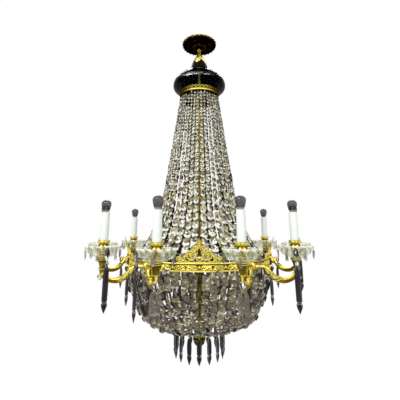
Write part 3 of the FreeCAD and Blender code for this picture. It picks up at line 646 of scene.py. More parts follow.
def ball(centre, radius, tone, segments=16, rows=9):
    """Turned ball with painted light: its tone brightens to its top."""
    profile = []
    for row in range(rows):
        angle = math.pi * row / (rows - 1)
        light = tone * (0.75 + 0.25 * math.cos(angle))
        profile.append((radius * math.sin(angle), radius * math.cos(angle), light))
    return lathe(profile, segments).moved(shifted_by(*centre))


def bent_tube(path, radii, relief=None, sides=14, coat=0):
    """Round bar along (x, z) points in the XZ plane. Relief gives a rise and a tone, from share and angle."""
    path = np.asarray(path, float)
    turn = np.arange(sides) * 2 * math.pi / sides
    corners = []
    tones = []
    for row, (place, way) in enumerate(zip(path, ways_along(path))):
        share = row / (len(path) - 1)
        rise, tone = relief(share, turn) if relief else (0.0, 0.75 + 0.0 * turn)
        radius = np.interp(share, np.linspace(0, 1, len(radii)), radii) + rise
        out = np.cos(turn) * radius
        first = place[0] - way[1] * out
        corners.append(np.stack([first, np.sin(turn) * radius, place[1] + way[0] * out], -1))
        tones.extend(np.clip(tone, 0, 1).tolist())
    return Shape().add(np.vstack(corners), bar_faces(len(path), sides), tones, coat)


# Cut crystals

spear_width = 18.5
spear_thickness = 9.5


def octagon(width, length, corner):
    """Corners of a cut octagon as (across, up), clockwise from its top left."""
    half_width, half_length = width / 2, length / 2
    near_width, near_length = half_width * (1 - corner), half_length * (1 - corner)
    quarter = [(near_width, half_length), (half_width, near_length)]
    right = quarter + [(across, -up) for across, up in quarter[::-1]]
    return [(-near_width, half_length)] + right + [(-across, up) for across, up in right[:0:-1]]


def cut_crystal(outline, thickness, table):
    """Corners and faces of a crystal cut on both sides: a rim of facets round a star-cut table."""
    count = len(outline)
    corners = [(across, up, 0.0) for across, up in outline]
    corners += [(across * table, up * table, thickness * 0.45) for across, up in outline]
    corners += [(across * table, up * table, -thickness * 0.45) for across, up in outline]
    corners += [(0.0, 0.0, thickness / 2), (0.0, 0.0, -thickness / 2)]
    faces = []
    for front, tip in ((count, 3 * count), (2 * count, 3 * count + 1)):
        for side in range(count):
            after = (side + 1) % count
            faces.append((side, after, front + after, front + side))
        for side in range(count):
            faces.append((front + side, front + (side + 1) % count, tip))
    return np.array(corners), faces


def placed(corners, centre, across, up, out):
    """Corners of (across, up, out) set in space."""
    return np.asarray(centre) + corners @ np.array([across, up, out])


def strand_places(path, sizes):
    """Middle, length, way down and way out of each crystal on a line of (x, z)."""
    path = np.asarray(path, float)
    runs = np.linalg.norm(np.diff(path, axis=0), axis=1)
    reach = np.concatenate([[0.0], np.cumsum(runs)])
    lengths = np.concatenate([[pitch] * count for count, pitch in sizes])
    lengths *= reach[-1] / lengths.sum()
    ends = np.concatenate([[0.0], np.cumsum(lengths)])
    places = []
    for start, end in zip(ends[:-1], ends[1:]):
        top = np.array([np.interp(start, reach, path[:, side]) for side in (0, 1)])
        foot = np.array([np.interp(end, reach, path[:, side]) for side in (0, 1)])
        down = (foot - top) / np.linalg.norm(foot - top)
        places.append(((top + foot) / 2, end - start, down, np.array([-down[1], down[0]])))
    return places


def facet_tones(light, spread):
    """Tones of a cut octagon's facets, painted as the reflections of cut glass. Light gives the top and
    middle of its rim, its foot and its table. Some table facets get a painted glint, and the back facets are
    painted dark as shade.
    """
    sides = 8
    rim, edge, foot, table = light
    luck = chance.gauss(0.0, spread * 0.4)
    tones = []
    for side in range(sides):
        fall = 0.5 - 0.5 * math.cos(2 * math.pi * side / sides)
        tone = rim + (edge - rim) * min(2 * fall, 1.0) if fall < 0.6 else foot
        tones.append(tone + luck + chance.gauss(0.0, spread))
    for side in range(sides):
        # painted glint on about one table facet in eight
        painted_glint = 0.6 if chance.random() < 0.12 else 0.0
        tones.append(table + painted_glint + luck + chance.gauss(0.0, spread * 0.8))
    # painted shade: the back facets, facing into the strands, are dark
    return tones + [chance.uniform(0.0, 0.25) for _ in range(2 * sides)]


def hang_strands(places, turns, width_of, light, spread, twist, stray, shade=0.0, stretch=0.94, corner=0.42):
    """Crystals and brass pins of strands, whose turns about the stem are given by a share of their length."""
    crystals = Shape()
    pins = Shape()
    skyward = np.array([0.0, 0.0, 1.0])
    pin = np.array([(across, up, deep) for up in (-0.12, 0.12)
                    for across, deep in ((-0.9, -0.5), (0.9, -0.5), (0.9, 0.5), (-0.9, 0.5))])
    for turn_at in turns:
        shift = chance.uniform(-stray[1], stray[1])
        for number, (middle, length, down, out) in enumerate(places):
            share = number / (len(places) - 1)
            angle = math.radians(turn_at(share))
            outward = np.array([math.cos(angle), math.sin(angle), 0.0])
            sideways = np.array([-math.sin(angle), math.cos(angle), 0.0])
            fall = outward * down[0] + skyward * down[1]
            face = outward * out[0] + skyward * out[1]
            centre = outward * middle[0] + skyward * middle[1]
            centre = centre + face * chance.uniform(-stray[0], stray[0]) + fall * shift * length
            lean = chance.gauss(0.0, twist)
            side = sideways * math.cos(lean) + face * math.sin(lean)
            front = face * math.cos(lean) - sideways * math.sin(lean)
            outline = octagon(width_of(length, middle[0]), length * stretch, corner)
            corners, faces = cut_crystal(outline, length * 0.34, 0.56)
            # painted shade: crystals are darker toward the top of the strand, under the crown
            painted_top_shade = shade * (1 - share) ** 1.5
            tones = facet_tones([tone - painted_top_shade for tone in light], spread)
            crystals.add(placed(corners, centre, side, -fall, front), faces, tones)
            joint = centre - fall * length / 2
            pin_corners = placed(pin * (1.0, length, 1.0), joint, sideways, -fall, face)
            pins.add(pin_corners, grid_faces(2, 4), [0.7] * 8)
    return crystals, pins


def strand_turns(count, spread, part):
    """Even turns with a little chance in each. The two at the front part, so that the stem shows."""
    def swayed(turn, luck, side):
        return lambda share: turn + luck + side * part(share)
    turns = []
    for index in range(count):
        turn = 360.0 / count * (index + 0.5) - 90.0
        side = {0: 1.0, count - 1: -1.0}.get(index, 0.0)
        turns.append(swayed(turn, chance.uniform(-spread, spread), side))
    return turns


def tent_radius(share):
    """Radius of the tent at a share of its height below the crown. Its foot flares out to the ring."""
    top = crown_radius - 1.6
    foot = ring_radius - 10.5
    return top + (foot - top) * (0.53 * share + 0.47 * share ** 9)


def tent():
    """Graded octagons on strands from the crown out to the ring."""
    steps = 80
    path = [(tent_radius(step / steps), crown_foot - tent_height * step / steps) for step in range(steps + 1)]
    places = strand_places(path, tent_sizes)

    def width(length, radius):
        return min(length * 0.84, 2 * math.pi * radius / tent_strand_count * 0.84)

    turns = strand_turns(tent_strand_count, 1.5, lambda share: 0.8)
    light = (0.37, 0.58, 0.98, 0.37)
    crystals, pins = hang_strands(places, turns, width, light, spread=0.15, twist=0.3, stray=(0.0, 0.5),
                                  shade=0.34)
    make("tent_crystals", crystals, [tent_glass], ["tent_strands"], crease=0)
    make("tent_pins", pins, [brass_pin])


def basket_path():
    """Curve of the basket from the ring in to the bottom ring."""
    top_radius = ring_radius - 1.5
    foot_radius = bottom_ring_radius + 6.7
    span = top_radius - foot_radius
    shares = ((1.0, 0.0), (1.016, 0.16), (1.005, 0.26), (0.91, 0.42), (0.82, 0.58), (0.745, 0.70),
              (0.68, 0.78), (0.595, 0.84), (0.465, 0.89), (0.245, 0.94))
    path = [(foot_radius + span * out, ring_foot - 1.5 - basket_depth * down) for out, down in shares]
    return path + [(foot_radius, bottom_ring_top - 3.0)]


def basket():
    """Octagons that shrink toward the bottom ring."""
    places = strand_places(smooth(basket_path(), 6), basket_sizes)

    def width(length, radius):
        return min(length * 1.3, 2 * math.pi * radius / basket_strand_count * 1.16)

    turns = strand_turns(basket_strand_count, 0.5, lambda share: max(0.0, 1.5 - 3.2 * share))
    light = (0.42, 0.5, 0.66, 0.46)
    crystals, pins = hang_strands(places, turns, width, light, spread=0.26, twist=0.5, stray=(3.0, 0.5),
                                  stretch=1.1, corner=0.34)
    make("basket_crystals", crystals, [basket_glass], ["basket_strands"], crease=0)
    make("basket_pins", pins, [brass_pin])


def prism(stations, tones, edge=0.5):
    """Six-sided prism through (level, width, thickness) stations on the Z axis, with a tone for each."""
    corners = []
    for level, width, thickness in stations:
        for side, deep in ((-1, 0), (-edge, 1), (edge, 1), (1, 0), (edge, -1), (-edge, -1)):
            corners.append((deep * thickness / 2, side * width / 2, level))
    # painted glints: the bevel facets of the glass are lighter than its flats
    bevel_glints = [chance.choice((0.36, 0.16, 0.1)), -0.04, chance.choice((0.26, 0.1, 0.05))] * 2
    face_tones = [tone + bevel + chance.gauss(0.0, 0.04) for tone in tones[:-1] for bevel in bevel_glints]
    return Shape().add(corners, bar_faces(len(stations), 6), face_tones + [0.3, 0.3])


def notched_spear(top, length, width, thickness):
    """Long drop with two narrow cuts above its arrow tip."""
    tip = top - length
    head = tip + spear_head_length
    stations = ((top, 0.3, 0.3), (top - 4.0, 0.66, 0.3), (top - 12.0, 0.9, 0.16),
                (top - length * 0.35, 1.0, 0.2), (head + 4.0, 0.94, 0.3), (head + 2.5, 0.8, 0.62),
                (head + 1.0, 0.74, 0.3), (head - 1.5, 0.82, 0.55), (head - 4.0, 1.0, 0.14),
                (tip + spear_head_length * 0.55, 0.86, 0.2), (tip + 3.0, 0.24, 0.3), (tip, 0.1, 0.2))
    rows = [(level, width * size, thickness * size) for level, size, _ in stations]
    return prism(rows, [tone for _, _, tone in stations])


def bottom_spears():
    """Each spear under the bottom ring, with its brass cap, on its own body."""
    cap = prism([(spear_pin_level + 2.4, 4.0, 3.0), (spear_pin_level, 5.0, 4.0), (spear_top + 1, 5.0, 4.0),
                 (spear_top - 2.0, 6.5, 5.0)], [0.8, 0.7, 0.6, 0.5]).coated(1)
    for index in range(spear_count):
        crystal = notched_spear(spear_top, spear_length, spear_width, spear_thickness)
        whole = Shape().join(crystal, cap).moved(shifted_by(bottom_ring_radius))
        shape = whole.moved(turned_by(360.0 * index / spear_count - 90.0))
        name = "spear_%02d" % (index + 1)
        make("long_" + name, shape, [spear_glass, brass_pin], [name], name, crease=0)


# Crystals on the pans and under the arms

pan_spear_turns = (         # of the long spears from each pan's outer side, arm by arm
    (-72,), (), (-70,), (60,), (20,),
    (0,), (-10,), (-20,), (-90,), (85,),
)
pair_arms = (0, 1)
pair_hook_turn = 42.0
pair_spacing = 17.5
rim_hook_radius = 57.5
rim_hook_level = pan_rim - 3.27
rim_hook_count = 6
rim_hook_spacing = 20.0
almond_length = 40.0
long_spear_length = 138.0
long_spear_width = 19.0
short_spear_width = 17.0
arm_spear_thickness = 9.0
bead_size = 16.0


def bead(level, size, tones, sides=8):
    """Faceted ball on the Z axis."""
    rows = ((0.06, 0.5), (0.34, 0.36), (0.5, 0.0), (0.34, -0.36), (0.06, -0.5))
    turns = np.arange(sides) * 2 * math.pi / sides
    corners = [round_places(size * radius, turns, level + size * rise) for radius, rise in rows]
    faces = bar_faces(len(rows), sides)
    return Shape().add(np.vstack(corners), faces, [chance.uniform(*tones) for _ in faces])


def flat_crystal(top, width, length, thickness):
    """Almond that hangs on the Z axis with its face along X."""
    corners, faces = cut_crystal(octagon(width, length, 0.6), thickness, 0.5)
    hung = placed(corners, (0, 0, top - length / 2), (0, 1, 0), (0, 0, 1), (1, 0, 0))
    return Shape().add(hung, faces, facet_tones((0.3, 0.4, 0.9, 0.22), 0.18))


def teardrop(top, length, width, thickness):
    """Drop that is widest near its foot."""
    shares = ((0.0, 0.15, 0.5), (0.2, 0.4, 0.25), (0.5, 0.78, 0.15), (0.72, 1.0, 0.3), (0.88, 0.75, 0.75),
              (1.0, 0.2, 0.9))
    stations = [(top - length * drop, width * size, thickness * size) for drop, size, _ in shares]
    return prism(stations, [tone for _, _, tone in shares])


def on_pan(shape, index, turn):
    """A crystal built on the Z axis, hung on one arm's pan at a turn from its outer side."""
    return on_candle(shape.moved(shifted_by(rim_hook_radius)).moved(turned_by(turn)), index)


def wire_loop(level, radius):
    """Small brass ring through a crystal's top."""
    return bent_tube(volute((0.0, level), radius, radius, 0.0, 1.0, 10), [0.7], sides=5, coat=1)


def long_spear():
    """Almond, bead and notched spear, one under the other on the rim of a pan."""
    foot = rim_hook_level - almond_length
    return Shape().join(
        flat_crystal(rim_hook_level, 15.0, almond_length, 7.5),
        bead(foot - bead_size / 2, bead_size, (0.1, 1.0)),
        notched_spear(foot - bead_size, long_spear_length, long_spear_width, arm_spear_thickness),
        wire_loop(rim_hook_level, 2.0), wire_loop(foot, 2.0))


def short_spear(top):
    return notched_spear(top, spear_length, short_spear_width, arm_spear_thickness)


def small_drop(kind):
    """One of the three kinds of small drop on the rims."""
    if kind == 0:
        drop = teardrop(rim_hook_level - 3.0, 42.0, 13.0, 8.0)
    elif kind == 1:
        drop = flat_crystal(rim_hook_level - 6.0, 14.0, 34.0, 8.0)
    else:
        drop = Shape().join(bead(rim_hook_level - 8.0, 12.0, (0.1, 0.9)),
                            teardrop(rim_hook_level - 15.0, 30.0, 13.0, 8.0))
    return Shape().join(drop, wire_loop(rim_hook_level - 2.0, 2.5))


def spear_pair():
    """Star bead under an arm's end with two short spears side by side on a bar."""
    turn = math.radians(pair_hook_turn)
    reach = end_bend + arm_thickness[0]
    top = trumpet_foot - reach * math.sin(turn) - 1.0
    bar_top = top - bead_size
    bar_foot = bar_top - 2.4
    bar_length = pair_spacing + 3.0
    bar = prism([(bar_top, 3.0, bar_length), (bar_foot, 3.0, bar_length)], [0.6, 0.6], 1.0)
    pair = Shape().join(bead(top - bead_size / 2, bead_size * 1.1, (0.2, 1.0), 10),
                        bar.moved(turned_by(90)).coated(1))
    for side in (-1, 1):
        pair.join(short_spear(bar_foot).moved(shifted_by(0.0, side * pair_spacing / 2)).coated(2))
    return pair.moved(shifted_by(reach * math.cos(turn) - end_bend))


def pan_crystals():
    """Long spears and small drops on the rims of the pans, and what hangs under the arms."""
    spears = Shape()
    drops = Shape()
    for index, turns in enumerate(pan_spear_turns):
        for turn in turns:
            spears.join(on_pan(long_spear(), index, turn))
        first = turns[0] if turns else 0
        for hook in range(rim_hook_count):
            turn = first + (hook + 0.5) * 360.0 / rim_hook_count
            if all(abs((turn - other + 180) % 360 - 180) > rim_hook_spacing for other in turns):
                drops.join(on_pan(small_drop(hook % 3), index, turn))
    for index in pair_arms:
        spears.join(along_arm(spear_pair(), index))
    low_spear = short_spear(arm_low_hook[1]).moved(shifted_by(arm_low_hook[0]))
    star = bead(0.0, 20.0, (0.2, 1.1), 10).moved(shifted_by(5.0, 0.0, trumpet_foot - 24.0))
    spears.join(along_arms(low_spear), along_arms(star))
    finishes = [spear_glass, brass_pin, drop_glass]
    make("pan_spears", spears, finishes, ["arm_spears"], crease=0)
    make("pan_drops", drops, [drop_glass, brass_pin], ["bobeche_drops"], crease=0)


# Ceiling rosette and crown

rosette_petal_count = 24
rosette_bead_count = 24
cap_leaf_turns = (-104.0, 76.0)
cap_slim_leaf_turn = 62.0       # from its broad leaf
crown_wave_count = 16


def ceiling_rosette():
    """Cast rosette of petals with gilt tips, under the ceiling, its gilding painted near-black as painted
    shade.
    """
    rolls = ((0.95, -10.0, 0.35), (0.82, -13.0, 0.2), (0.64, -15.5, 0.45), (0.5, -16.0, 0.2),
             (0.36, -19.0, 0.45), (0.2, -23.5, 0.3))
    rows = [(canopy_radius, -0.5, 0.75), (canopy_radius - 1, -5.0, 0.7)]
    rows += [(canopy_radius * out, level, tone) for out, level, tone in rolls]
    rows += [(12.0, canopy_foot + 0.6, 0.2), (9.0, canopy_foot, 0.1),
             (canopy_bore_radius, canopy_foot + 1.0, 0.0)]

    def petals(angle, share):
        rim = max(0.0, 1.0 - share / 0.35)
        wave = np.abs(np.cos(rosette_petal_count / 2 * angle))
        inner = np.abs(np.cos(8 * angle + 0.4)) * swell(share, 0.3, 0.55)
        tone = 0.35 * (wave ** 4 - 0.5) * rim + 0.2 * inner
        return -5.0 * rim * (1 - wave), -1.2 * rim * wave - 1.0 * inner, tone
    bead_place = (canopy_radius * 0.94, 0.0, -11.5)
    beads = on_circle(ball(bead_place, 3.2, 0.85, 8, 5), rosette_bead_count, 180.0 / rosette_bead_count)
    shape = Shape().join(lathe(smooth(rows, 4), 192, petals), beads)
    make("ceiling_rosette", shape, [antique_gilt], ["ceiling_canopy"], "ceiling_fixing")


def cap_leaves():
    """Bell of black enamel over the neck, under gilt acanthus leaves."""
    skin = ((0.0, 17.7, 0.6), (2.5, 17.7, 0.7), (14.0, 25.7, 0.3), (34.0, 34.0, 0.2), (60.0, 40.5, 0.2),
            (66.0, 41.5, 0.2))
    bell = [(radius, cap_top - drop, tone) for drop, radius, tone in skin]
    inside = [(radius - 1.5, level, 0.1) for radius, level, _ in bell[::-1]]
    form = on_turned(bell)
    shape = lathe(np.vstack([bell, inside]), 48, ring=True, coat=1)
    for turn in cap_leaf_turns:
        broad = leaf((2, cap_top - 14), (-4, cap_top - 52), 19.0, 4.0, form, 3)
        slim = leaf((-16, cap_top - 4), (6, cap_top - 55), 9.0, 4.0, form, 3)
        shape.join(broad.moved(turned_by(turn)), slim.moved(turned_by(turn + cap_slim_leaf_turn)))
    make("cap_leaves", shape, [satin_gilt, enamel], ["leaf_cap"])


def glass_dome():
    """Blown dome of smoked glass, open at its mouth and its foot, and clearer at the front; its top, sides
    and back are painted opaque and dark as painted shade inside it.
    """
    shares = ((0.18, 0.66, 0.9), (0.31, 0.80, 0.45), (0.42, 0.90, 0.15), (0.54, 0.97, 0.1), (0.68, 1.0, 0.1),
              (0.82, 0.975, 0.2), (0.92, 0.88, 0.5))
    mouth = [(dome_mouth_radius, dome_top, 0.9), (50.0, dome_top - 6.0, 0.9)]
    foot = [(crown_radius + 2, dome_foot, 0.1)]
    outer = smooth(mouth + rows_from(shares, dome_radius, dome_top, -dome_height) + foot, 4)
    inner = outer.copy()[::-1]
    inner[:, 0] -= dome_wall
    inner[:, 2] = 0.1

    def smoke(angle, _):
        # painted shade: the glass turns opaque and dark away from the front
        away = np.abs((angle + 1.5 * math.pi) % (2 * math.pi) - math.pi)
        return 0.0, 0.0, np.clip((away - 0.75) / 0.35, 0, 1)
    shape = lathe(np.vstack([outer, inner]), 96, smoke, ring=True)
    make("glass_dome", shape, [dome_glass], ["crown_dome"])


def crown_stem():
    """Turned baluster on the stem inside the dome."""
    top = dome_top - baluster_drop
    shares = ((0.0, 0.55, 0.8), (0.06, 0.7, 1.0), (0.12, 0.55, 0.8), (0.45, 0.54, 0.8), (0.6, 0.72, 1.0),
              (0.7, 0.6, 0.8), (0.75, 0.54, 0.5), (0.8, 0.8, 1.0), (0.88, 0.6, 0.8), (1.0, 0.9, 0.9))
    outline = smooth(rows_from(shares, baluster_radius, top, -baluster_length), 4)
    inner = [(wire_bore_radius, top - baluster_length, 0.3), (wire_bore_radius, top, 0.3)]
    make("crown_stem", lathe(np.vstack([outline, inner]), 32, ring=True), [satin_gilt], ["crown_baluster"])


def scroll_unit(length, height, gap, hand):
    """Lines of one running leaf with its blades, from a gap beside its flower, as (line, width)."""
    def blade(start, points):
        return smooth([(start + height * out, height * up) for out, up in points], 3)
    stem = smooth([(0.0, 0.2 * height), (0.3 * length, 0.1 * height), (0.62 * length, 0.5 * height),
                   (length, 0.86 * height)], 4)
    lines = [(stem, 3.6), (volute((0.86 * length, 0.4 * height), 0.26 * height, 1.0, 90, 1.1, 12), 3.6)]
    for step in range(5):
        upper = blade((0.02 + 0.17 * step) * length, ((0.0, 0.1 + 0.07 * step), (0.16, 0.5), (0.6, 0.94)))
        lines.append((upper, 4.6 if step % 2 else 3.6))
    for step in range(2):
        lower = blade((0.5 + 0.2 * step) * length, ((0.0, 0.3), (0.3, 0.1), (0.7, 0.06)))
        lines.append((lower, 3.6))
    return [([(hand * (first + gap), second) for first, second in line], width) for line, width in lines]


def flower(lay, up, radius):
    """Small round flower of petals on a form."""
    petals = Shape()
    for index in range(6):
        turn = math.radians(60 * index + 30)
        tip = (radius * math.cos(turn), up + radius * math.sin(turn))
        petals.join(leaf((0.0, up), tip, radius * 0.42, 1.6, lay, 1))
    return petals.join(rib([(-1.4, up), (0.0, up), (1.4, up)], 3.2, 2.2, lay))


def crown_bands():
    """Band under the dome with two crossing waves, a roll lit by a painted highlight, a cove in painted
    shade, and a foot painted dark as shade.
    """
    height = crown_height - 15.0
    # tones: painted highlight on the rolls, painted shade in the cove and along the foot
    skin = ((0.0, -3.5, 0.3), (0.0, 1.0, 0.8), (-1.2, 2.0, 1.0), (-2.6, 1.0, 0.5), (-3.2, -0.5, 0.0),
            (-height - 3.0, -0.5, 0.0), (-height - 4.0, 1.8, 0.9), (-height - 6.5, 2.6, 1.0),
            (-height - 9.0, 1.6, 0.8), (-height - 10.0, 0.8, 0.1), (-crown_height - 7.5, 1.8, 0.0),
            (-crown_height - 7.5, -3.5, 0.0))
    wall = [(crown_radius + out, dome_foot + drop, tone) for drop, out, tone in skin]
    shape = lathe(wall, 180, ring=True)
    lay = on_wall(crown_radius - 0.3, crown_foot + 12.0)
    for phase in (0.0, math.pi):
        turns = np.linspace(0, 2 * math.pi, crown_wave_count * 12 + 1)
        rises = height * (0.5 + 0.4 * np.sin(crown_wave_count * turns + phase))
        shape.join(rib(np.stack([crown_radius * turns, rises], -1), 2.6, 3.2, lay, 1.0))
    make("crown_band_relief", shape, [crown_gilt], ["crown_band"])


# Ring and crests

ring_flower_count = 20


def ring_relief():
    """Band with a lip above and below a field of running leaves and flowers; the lips carry painted
    highlights and the field painted shade.
    """
    skin = ((-1.0, ring_top, 0.3), (0.6, ring_top, 0.8), (1.0, ring_top - 2.0, 1.0),
            (0.6, ring_top - 4.0, 0.6), (0.0, ring_top - 5.0, 0.36), (0.0, ring_foot + 6.25, 0.36),
            (0.7, ring_foot + 5.0, 0.8), (1.0, ring_foot + 2.5, 1.0), (0.8, ring_foot + 0.3, 0.9),
            (-1.0, ring_foot, 0.3))
    shape = lathe([(ring_radius + ring_lip * out, level, tone) for out, level, tone in skin], 180, ring=True)
    radius = ring_radius + 0.3
    height = ring_height - 11.5
    gap = height * 0.3
    length = math.pi * radius / ring_flower_count - gap
    for index in range(ring_flower_count):
        lay = on_wall(radius + 0.2, ring_foot + 6.0, 360.0 * index / ring_flower_count - 90.0)
        shape.join(flower(lay, height / 2, height * 0.42))
        for hand in (-1, 1):
            for line, width in scroll_unit(length, height, gap, hand):
                shape.join(rib(line, width * height / 17.0, 2.4, lay))
    make("ring_relief", shape, [bright_gilt], ["ring_band"])


def crest():
    """Pierced crest of scrolls under a spear leaf, standing on the ring at +X."""
    lay = on_wall(ring_radius + 1.5, ring_top, 0.0, crest_lean, crest_height)
    shape = Shape()
    scrolls = (
        (smooth([(14, 28), (20, 35), (29, 37), (37, 33), (43, 24), (48, 14), (56, 8)], 4), 6.5),
        (volute((30, 19), 12, 2.0, 200, -1.6), 4.6),
        (volute((65, 13), 9.0, 1.8, -120, 1.5), 4.6),
        (volute((13, 45), 9.5, 2.0, -150, -1.4), 5.4),
        (volute((13, 32), 7.5, 2.0, 140, 1.2), 4.8),
        (smooth([(3, 2), (6, 12), (10, 20), (16, 29)], 4), 5.2),
        (smooth([(14, 2), (19, 8), (24, 10), (34, 5), (44, 3)], 4), 4.4),
        (smooth([(40, 3), (50, 7), (58, 4), (66, 2.5)], 4), 4.0),
        (smooth([(43, 20), (49, 21), (53, 16)], 4), 3.6),
        (volute((8, 14), 4.6, 1.4, 0, 1.1), 3.4),
    )
    for line, width in scrolls:
        for scroll in (line, mirrored(line)):
            shape.join(rib(scroll, width * 1.2, 3.4, lay))
    shape.join(leaf((0, 46), (0, crest_height - 0.5), 12.0, 3.4, lay, 5, 1.0))
    shape.join(ball(lay(np.array([0.0]), np.array([15.0]), np.array([3.0]))[0], 6.0, 0.95))
    shape.join(leaf((0, 4), (0, 27), 5.5, 3.0, lay, 3))
    leaves = ((5, 40, 16, 56, 5.0, 2.5), (20, 34, 36, 22, 5.0, 2.4), (46, 10, 72, 20, 4.0, 2.2))
    for side in (-1, 1):
        for root, root_up, tip, tip_up, width, rise in leaves:
            shape.join(leaf((side * root, root_up), (side * tip, tip_up), width, rise, lay, 3))
    half = crest_width / 2
    shape.join(rib([(-half, 1.6), (0, 1.6), (half, 1.6)], 3.4, 2.0, lay, 0.8))
    base = [(step, 1.6) for step in np.linspace(2 - half, half - 2, 25)]
    return shape.join(rib(base, 3.4, 2.2, lay, 0.9))


def crests():
    make("ring_crest_scrolls", on_circle(crest(), crest_count, -90.0), [bright_gilt], ["ring_crests"])


# Arms

end_bend = 30.0
end_turn = 55.0
belly_bend = 55.0
root_slope = 60.0
root_bend = 34.0
arm_thickness = (8.6, 8.6, 8.8, 9.4, 9.8, 9.4, 8.4, 7.6, 7.6)


def arm_line():
    """Line of an arm from the trumpet inward and down, round its belly and up to its root ball."""
    first = (-end_bend, trumpet_foot)
    spread = belly_bend - end_bend
    turn = math.radians(end_turn)
    belly = (first[0] - spread * math.cos(turn), first[1] + spread * math.sin(turn))
    slope = math.radians(root_slope)
    span = belly_bend + root_bend
    root = (belly[0] - span * math.sin(slope), belly[1] - span * math.cos(slope))
    line = [(0.0, trumpet_foot)] + volute(first, end_bend, end_bend, 0, -end_turn / 360, 8)[1:]
    line += volute(belly, belly_bend, belly_bend, -end_turn, (end_turn - 90 - root_slope) / 360, 26)[1:]
    line += volute(root, root_bend, root_bend, 90 - root_slope, root_slope / 360, 9)[1:]
    return line + [(root_ball_radius - 2.0 - arm_reach()[0], root[1] + root_bend)], belly


arm_points, belly_centre = arm_line()
root_level = arm_points[-1][1]
belly_hook_turn = math.radians(42.0)
belly_hook_reach = (63.0, 63.3)     # inward and down, just clear of the arm
arm_low_hook = (belly_centre[0] - belly_hook_reach[0] * math.sin(belly_hook_turn),
                belly_centre[1] - belly_hook_reach[1] * math.cos(belly_hook_turn))


def upright(first, second, rise):
    """Lays on the upright plane along an arm."""
    return np.stack([first, rise + 0 * first, second], -1)


def beside(side, gap):
    """Lays on one side of an arm."""
    return lambda first, second, rise: np.stack([first, side * (gap + rise), second], -1)


def raised(line, width, rise):
    """Rib that stands out on both sides of an arm's upright plane."""
    return Shape().join(rib(line, width, rise, upright), rib(line, width, -rise, upright))


def set_off(origin, *offsets):
    """Places at offsets from one place."""
    return [(origin[0] + first, origin[1] + second) for first, second in offsets]


def arm():
    """Leafy arm with its curls, from the candle inward along -X."""
    def relief(share, turn):
        window = hump(share, 0.6, 0.13)
        away = np.abs((turn + math.pi) % (2 * math.pi) - math.pi)
        vein = 0.5 + 0.5 * np.cos(2 * math.pi * (share * 11 + away * 0.8))
        collar = hump(share, 0.1, 0.02) + hump(share, 0.82, 0.02)
        # a shallow fold with a painted highlight along its lines; the collars also carry painted highlights
        fold_and_sheen = (0.5 + 0.5 * np.cos(2 * away + 3.0 * share)) ** 3
        tone = 0.42 + 0.55 * fold_and_sheen * (1 - window) + window * (0.75 * vein - 0.05) + 0.4 * collar
        return window * vein + collar * 1.6 - (1 - window) * (1 - fold_and_sheen) * 0.5, tone
    shape = bent_tube(arm_points, arm_thickness, relief)
    slope = (belly_centre[0] - 47.0, belly_centre[1] - 38.0)
    for curl in (((6, 8), (12, 20), (8, 30), (1, 27)), ((-2, 8), (2, 22), (-4, 34))):
        shape.join(raised(smooth(set_off(slope, *curl), 4), 6.5, 3.0))
    for side in (-1, 1):
        lay = beside(side, 7.5)
        shape.join(leaf(*set_off(slope, (2, 4), (30, -14)), 8.0, 3.0, lay, 4))
        shape.join(leaf(*set_off(slope, (-4, 6), (-22, 26)), 6.0, 3.0, lay, 4))
    return shape


def arms():
    make("leafy_arms", along_arms(arm()), [bright_gilt], ["arms"])


def root_castings():
    """Round boss on the ring and ball that takes a pair of arms, built outward along +X."""
    profile = smooth([(0.0, 6.0, 0.6), (9.0, 6.0, 0.8), (12.0, 5.0, 1.0), (13.0, 3.0, 0.4), (14.5, 2.0, 0.9),
                      (15.0, 0.0, 0.6), (14.5, -2.5, 0.3)], 3)

    def petals(angle, share):
        wave = np.abs(np.cos(5 * angle))
        return 0.8 * wave * share, 0.0, 0.3 * (wave - 0.6)
    boss_centre = np.array([ring_radius + 3.0, 0.0, root_level])
    shape = lathe(profile, 40, petals).moved(lambda points: points[:, ::-1] + boss_centre)
    shape.join(ball((root_radius, 0, root_level), root_ball_radius, 1.0, 24, 13))
    foot = (ring_radius, root_level)
    for side in (-1, 1):
        curl = volute((ring_radius + 12, root_level + side * 22), 7.0, 2.0, -90 * side, 1.2 * side)
        shape.join(raised(curl, 5.0, 3.5))
        lay = beside(side, 8.0)
        shape.join(leaf(*set_off(foot, (5, 10), (14, 36)), 5.0, 3.0, lay, 4))
        shape.join(leaf(*set_off(foot, (5, -10), (12, -28)), 5.0, 3.0, lay, 4))
    pairs = arm_count // 2
    make("root_castings", on_circle(shape, pairs, 180.0 / pairs - 90.0), [bright_gilt], ["arm_roots"])


# Candle stacks, built on the Z axis

pan_rib_count = 16
cup_leaf_count = 10


def trumpets():
    """Flared cup with two rings at its mouth and a bead at its foot; the rings carry painted highlights and
    the cone painted shade.
    """
    shares = ((0.0, 0.48, 0.9), (0.05, 0.56, 1.0), (0.1, 0.46, 0.6), (0.2, 0.47, 0.6), (0.5, 0.62, 0.52),
              (0.76, 0.86, 0.46), (0.8, 0.98, 0.95), (0.84, 1.02, 1.0), (0.87, 0.92, 0.3), (0.9, 0.88, 0.3),
              (0.93, 1.04, 1.0), (0.98, 1.04, 0.9), (1.0, 0.9, 0.5))
    outline = rows_from(shares, trumpet_radius, trumpet_foot, trumpet_height)
    outline = [(cup_bore_radius, trumpet_foot, 0.3)] + outline + [(cup_bore_radius, pan_foot, 0.3)]
    make("trumpets", on_candles(lathe(outline, 40, ring=True)), [shaded_gilt], ["trumpet_cups"])


